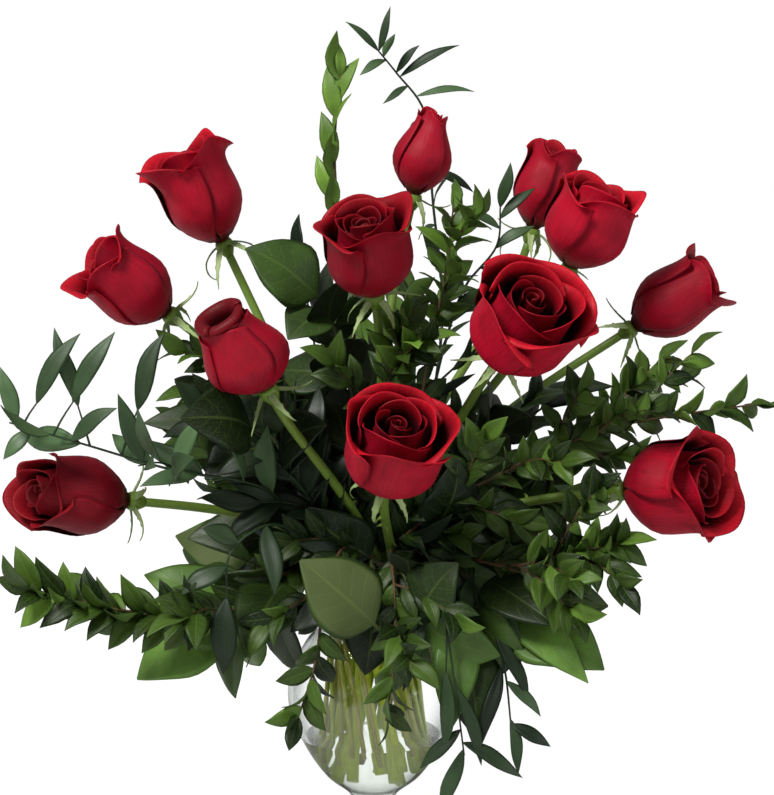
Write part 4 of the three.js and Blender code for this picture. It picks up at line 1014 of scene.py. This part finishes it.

# The lower tones of the sprays in the heart of the arrangement are painted shade.
SPRAYS = [
    # Salal: big leaves low in the arrangement, and a few that stand up behind the roses.
    salal("upper_left", "leaves", 97, [(-12, 14, 265), (-24, 16, 314), (-32, 16, 339)],
        [(1, -79, 6, 371, 23, 0.43), (0.92, -52, -14, 316, 17, 0.36), (0.8, 2, 26, 352, 17, 0.28),
         (0.6, -62, 46, 292, 20)], tone=0.25, more=6, twigs=1),
    salal("left", "leaves", 200, [(-34, -20, 205), (-56, -28, 249), (-70, -26, 270)],
        [(1, -138, -44, 268, 14), (0.8, -100, -58, 236, 20), (0.6, -92, -8, 190, 21)], tone=0.1, more=8,
        twigs=2),
    salal("front", "rim", 255, [(0, -42, 184), (3, -72, 172), (5, -94, 150)],
        [(1, -42, -97, 194, 25, -0.4), (0.75, -48, -78, 150, 14)], tone=0.15, more=4, twigs=0),
    salal("front_right", "rim", 270, [(15, -45, 186), (22, -72, 172), (27, -86, 158)],
        [(1, 50, -100, 193, 19), (0.7, 18, -104, 196, 14)], tone=0.15, more=4, twigs=1),
    salal("right", "rim", 309, [(45, -22, 180), (66, -48, 168), (80, -62, 150)],
        [(1, 136, -92, 128, 22, 0.8), (0.8, 142, -52, 158, 22, 0.22), (0.6, 108, -92, 156, 18, 0.14)],
        tone=0.2, more=5, twigs=1, extra=[(0.85, 126, -100, 122, 13, 1.0)]),
    salal("low_left", "rim", 200, [(-36, -34, 182), (-62, -46, 164), (-82, -54, 150)],
        [(1, -142, -84, 152, 22, 0.75), (0.82, -134, -46, 130, 20, 0.85), (0.6, -74, -86, 138, 20, 0.3)],
        tone=0.25, more=4, twigs=1,
        extra=[(0.98, -142, -56, 114, 22, 1.0), (0.95, -138, -46, 176, 17, 0.95)]),
    salal("drop", "rim", 295, [(34, -38, 182), (50, -58, 172), (58, -68, 142)],
        [(1, 64, -90, 84, 17), (0.85, 46, -92, 92, 14)], tone=0.55, more=2, twigs=0, lowest=75),
    salal("heart_right", "leaves", 301, [(28, -10, 190), (44, -18, 228)],
        [(1, 84, -58, 262, 24), (0.75, 96, -8, 214, 22), (0.5, 60, -66, 214, 20)], tone=0.12, more=9,
        twigs=3, ends=[(106, 4, 272), (84, -6, 266)], sizes=(0.6, 0.85)),
    salal("back", "rim", 75, [(0, 40, 184), (-4, 70, 200), (-6, 92, 216)],
        [(1, -10, 142, 254, 24), (0.8, -62, 108, 220, 22), (0.65, 50, 112, 196, 22)]),
    salal("back_right", "rim", 30, [(32, 30, 182), (58, 58, 186), (76, 78, 184)],
        [(1, 132, 108, 204, 23), (0.8, 76, 134, 170, 22), (0.6, 116, 36, 172, 20)]),
    salal("back_left", "rim", 121, [(-32, 30, 182), (-58, 54, 180), (-74, 70, 172)],
        [(1, -128, 100, 166, 23), (0.8, -70, 118, 148, 22), (0.6, -118, 26, 186, 20)]),
    # Ruscus: slender leaves, reaching up behind the top roses, out to the left and down at the right.
    ruscus("top", "leaves", 31,
        [(25, 46, 220), (45, 90, 320), (39, 112, 399), (33, 108, 458), (15, 100, 482), (2, 84, 497)],
        [(1, -18, 78, 514, 5), (0.985, 11, 82, 524, 4.5), (0.95, 14, 90, 507, 4.5),
         (0.93, -9, 84, 480, 5.5), (0.86, 30, 98, 500, 5), (0.84, 56, 98, 500, 6),
         (0.8, 6, 96, 462, 4.5), (0.76, 66, 104, 470, 5), (0.7, 22, 124, 440, 6),
         (0.62, 66, 110, 404, 6), (0.54, 30, 130, 372, 6)], more=5, twigs=0, slim=0.62, tone=0.7),
    ruscus("top_right", "leaves", 12,
        [(30, 20, 250), (46, 28, 313), (58, 32, 346), (78, 34, 372), (80, 32, 398)],
        [(1, 86, 28, 424, 5.5), (0.94, 102, 34, 408, 5), (0.9, 58, 38, 396, 4.5),
         (0.82, 102, 36, 384, 5.5), (0.74, 94, 28, 354, 5), (0.66, 38, 34, 370, 4.5),
         (0.58, 82, 44, 336, 5.5)], slim=0.75, tone=0.5),
    ruscus("left", "rim", 215,
        [(-44, -30, 206), (-66, -62, 232), (-117, -88, 246), (-167, -96, 262), (-209, -100, 275)],
        [(1, -214, -98, 307, 5), (0.97, -168, -94, 326, 5.8), (0.9, -148, -94, 327, 6),
         (0.82, -184, -88, 329, 5), (0.76, -120, -88, 326, 6), (0.72, -146, -102, 292, 5.8),
         (0.95, -212, -104, 254, 5), (0.86, -146, -106, 284, 6), (0.66, -98, -92, 278, 6),
         (0.62, -134, -102, 238, 5.6), (0.54, -84, -104, 264, 5.6)], tone=0.75, more=7, until=0.97,
        twigs=1),
    ruscus("left_drop", "rim", 233,
        [(-30, -42, 193), (-62, -88, 213), (-82, -104, 199), (-84, -108, 172)],
        [(1, -86, -112, 130, 8), (0.86, -110, -112, 176, 6.5), (0.74, -98, -104, 214, 6.5),
         (0.6, -56, -112, 176, 6.5)], more=3, twigs=0),
    ruscus("left_heart", "leaves", 212,
        [(-23, -31, 200), (-49, -55, 238), (-75, -67, 262), (-100, -70, 276)],
        [(1, -116, -74, 296, 6.5), (0.92, -124, -66, 262, 6.5), (0.84, -72, -72, 286, 6.5),
         (0.7, -92, -84, 240, 6.5), (0.6, -38, -70, 252, 6.5)], tone=0.3, more=12, twigs=4),
    ruscus("drop_right", "rim", 281, [(43, -34, 182), (63, -64, 170), (77, -84, 132), (82, -90, 92)],
        [(1, 105, -92, 82, 6), (0.97, 86, -94, 66, 5), (0.86, 99, -92, 100, 5), (0.8, 64, -98, 84, 6.5),
         (0.7, 92, -90, 108, 6), (0.6, 88, -84, 142, 6)], lowest=40, more=3, twigs=0, slim=0.75),
    ruscus("drop", "leaves", 285, [(24, -44, 196), (38, -74, 182), (47, -94, 130), (54, -97, 78)],
        [(1, 42, -94, 42, 6.5), (0.97, 88, -96, 66, 6.5), (0.94, 28, -96, 70, 6),
         (0.82, 64, -98, 72, 5.5), (0.72, 42, -98, 80, 6), (0.62, 18, -98, 112, 6)], lowest=36, more=3,
        twigs=0, slim=0.75),
    ruscus("back", "rim", 96, [(-12, 44, 200), (-30, 84, 260), (-42, 104, 318), (-48, 110, 362)],
        begin=0.45, count=6),
    ruscus("back_right", "rim", 15, [(38, 20, 184), (88, 54, 204), (136, 90, 238), (170, 112, 262)],
        begin=0.4, count=6),
    ruscus("back_low", "rim", 55, [(14, 46, 186), (24, 84, 182), (34, 112, 150), (38, 122, 112)],
        begin=0.5, count=5),
    # Huckleberry: small leaves, close along brown twigs.
    huckleberry("top_left", "leaves", 75,
        [(-3, 28, 250), (-13, 40, 318), (-21, 36, 382), (-24, 31, 432), (-20, 27, 482)], tone=0.72,
        more=12, twigs=0, sizes=(1.35, 1.75), bare=0.5, angle=0.34, scatter=0.45, turned=1.0, slim=0.74,
        begin=0.55, count=10),
    huckleberry("centre_top", "leaves", 325, [(26, 6, 250), (38, 12, 320), (46, 14, 360), (50, 14, 398)],
        tone=0.6, sizes=(0.95, 1.3), more=22, twigs=3, begin=0.42, count=8),
    huckleberry("centre", "leaves", 271, [(4, -26, 210), (6, -30, 262), (12, -36, 306), (18, -42, 330)],
        tone=0.48, sizes=(0.95, 1.3), more=24, twigs=4, begin=0.4, count=8),
    huckleberry("right_long", "leaves", 340,
        [(22, -34, 200), (88, -50, 244), (147, -58, 268), (234, -58, 282)], tone=0.42, more=42, twigs=8,
        begin=0.34, count=13),
    huckleberry("right", "rim", 359, [(44, 8, 184), (100, 20, 218), (146, 22, 266), (182, 20, 302)],
        tone=0.4, more=42, twigs=8, lowest=150, begin=0.4, count=9),
    huckleberry("low_right", "rim", 325,
        [(41, -24, 184), (83, -80, 188), (117, -96, 198), (144, -106, 206)], tone=0.38, more=40, twigs=8,
        lowest=152, begin=0.42, count=9),
    huckleberry("low_left", "rim", 183,
        [(-38, -28, 179), (-88, -88, 161), (-142, -101, 165), (-200, -112, 181)], more=54, twigs=1,
        tone=0.34, sizes=(1.1, 1.45), lowest=124, scatter=0.3, flat=2.5, turned=0.6, begin=0.36,
        count=12),
    huckleberry("drop_left", "leaves", 238,
        [(-14, -44, 194), (-26, -74, 178), (-34, -90, 130), (-44, -94, 98)], lowest=74, more=22, twigs=2,
        tone=0.3, begin=0.5, count=7),
    huckleberry("drop", "rim", 244, [(11, -43, 190), (13, -76, 173), (13, -92, 135), (8, -94, 98)],
        lowest=86, more=20, twigs=3, tone=0.3, begin=0.52, count=6),
    huckleberry("left", "leaves", 144, [(-37, 14, 220), (-67, 24, 270), (-84, 30, 306)], begin=0.4,
        count=7),
    huckleberry("back", "leaves", 42, [(4, 46, 230), (14, 82, 290), (22, 104, 340)], begin=0.4, count=8),
    huckleberry("back_left", "rim", 133, [(-44, 28, 196), (-92, 66, 222), (-132, 88, 254)], begin=0.4,
        count=8),
]

# --- Vase, from its foot up its outside and down its inside ---

VASE_FOOT = [(0, 0), (30, 0), (34.5, 0.15), (35.7, 0.8)]
VASE_OUTSIDE = [
    (36, 1.6), (35.4, 3.2), (18, 12), (12, 21), (15, 28.5), (30, 41), (45, 63.5),
    (53, 85), (52.5, 104), (42, 126), (34, 137), (34, 147), (41.6, 163.5),
]
VASE_LIP = [(41.9, 164.4), (41.5, 165.0), (40.6, 165.1), (39.8, 164.8)]
VASE_INSIDE = [
    (39.4, 164), (31.6, 147.5), (31.6, 137.5), (39.6, 124.5), (49.6, 103), (50, 86),
    (42.4, 65.5), (27.5, 44), (13, 34), (0, 32),
]
VASE_SIDES = 96
WATER_TOP = 66.5
INTO_GLASS = 0.12


def rounded(outline, steps=8):
    """A smooth line through the points of an outline, which keeps its first and last points."""
    points = [np.array([x, 0.0, z]) for x, z in outline]
    curve = catmull_rom(points, np.linspace(0, 1, steps * (len(points) - 1) + 1))
    return [(max(0.0, float(p[0])), float(p[2])) for p in curve]


def make_vase():
    shape = Shape()
    add_turned(shape, VASE_FOOT + rounded(VASE_OUTSIDE) + VASE_LIP + rounded(VASE_INSIDE), VASE_SIDES)
    shape.object("glass_vase", [MATERIALS["glass"]], ["vase"], "glass")


def make_water():
    """The water, which meets the glass all round."""
    inside = [p for p in reversed(rounded(VASE_INSIDE)) if p[1] < WATER_TOP]
    side = [(radius + INTO_GLASS * (radius > 0), height - INTO_GLASS) for radius, height in inside]
    top = [(side[-1][0] + 0.2, WATER_TOP), (0, WATER_TOP)]
    shape = Shape()
    add_turned(shape, side + top, VASE_SIDES)
    shape.object("vase_water_body", [MATERIALS["water"]], ["water"], "water")


# --- Studio ---

AMBIENT = 0.26
AIM = (0, 0, 0.28)
WHITE = (1.0, 1.0, 1.0, 1.0)


def make_camera():
    data = bpy.data.cameras.new("camera")
    camera = bpy.data.objects.new("camera", data)
    bpy.context.scene.collection.objects.link(camera)
    camera.location = Vector(CAMERA_PLACE * MM)
    camera.rotation_euler = (math.pi / 2 - CAMERA_TILT, 0, 0)
    data.sensor_width = SENSOR_WIDTH
    data.lens = CAMERA_DISTANCE / MM_PER_PIXEL * data.sensor_width / IMAGE_HEIGHT
    bpy.context.scene.camera = camera


def add_area(name, place, aim, size, power, colour):
    data = bpy.data.lights.new(name, "AREA")
    data.shape = "DISK"
    data.size = size
    data.energy = power
    data.color = colour
    light = bpy.data.objects.new(name, data)
    bpy.context.scene.collection.objects.link(light)
    light.location = Vector(place)
    light.rotation_euler = (Vector(aim) - Vector(place)).to_track_quat("-Z", "Y").to_euler()


def seen_straight(n):
    """1 where the backdrop is seen, also through the glass, and 0 where it lights the object."""
    path = n.node("ShaderNodeLightPath")
    return n.math("MAXIMUM", path.outputs["Is Camera Ray"], path.outputs["Is Transmission Ray"])


class WorldNodes(Nodes):
    """The same short ways for the nodes of a world."""

    def __init__(self, world):
        world.use_nodes = True
        self.tree = world.node_tree
        self.shader = self.tree.nodes["Background"]


def make_studio():
    world = bpy.data.worlds.new("studio")
    bpy.context.scene.world = world
    n = WorldNodes(world)
    n.feed(n.shader.inputs["Color"], WHITE)
    n.feed(n.shader.inputs["Strength"], n.range(seen_straight(n), 0.0, 1.0, AMBIENT, 1.0, False))
    add_area("key", (-1.0, -1.2, 1.9), AIM, 0.8, 54, (1, 0.985, 0.96))
    add_area("fill", (1.6, -1.3, 0.8), AIM, 1.2, 9, (0.95, 0.98, 1))
    bpy.ops.mesh.primitive_plane_add(size=60, location=(0, 0, -0.0002))
    floor = bpy.context.object
    floor.name = "floor"
    n = Nodes("floor_white")
    seen = seen_straight(n)
    tint = n.mix(n.noise(n.object_place(), 3.0, 2.0), rgb(0.78, 0.78, 0.78), rgb(0.80, 0.80, 0.80))
    n.feed(n.shader.inputs["Emission Strength"], n.times(seen, 0.96))
    colour = n.mix(seen, tint, rgb(0.17, 0.17, 0.17))
    n.finish(colour, 0.6, specular_ior_level=0.0, emission_color=WHITE)
    floor.data.materials.append(n.material)
    bpy.context.scene.view_settings.view_transform = "Standard"


make_camera()
make_studio()
make_vase()
make_water()
for rose in ROSES:
    make_bloom(rose)
    make_rose_stem(rose)
for spray in SPRAYS:
    spray.make()
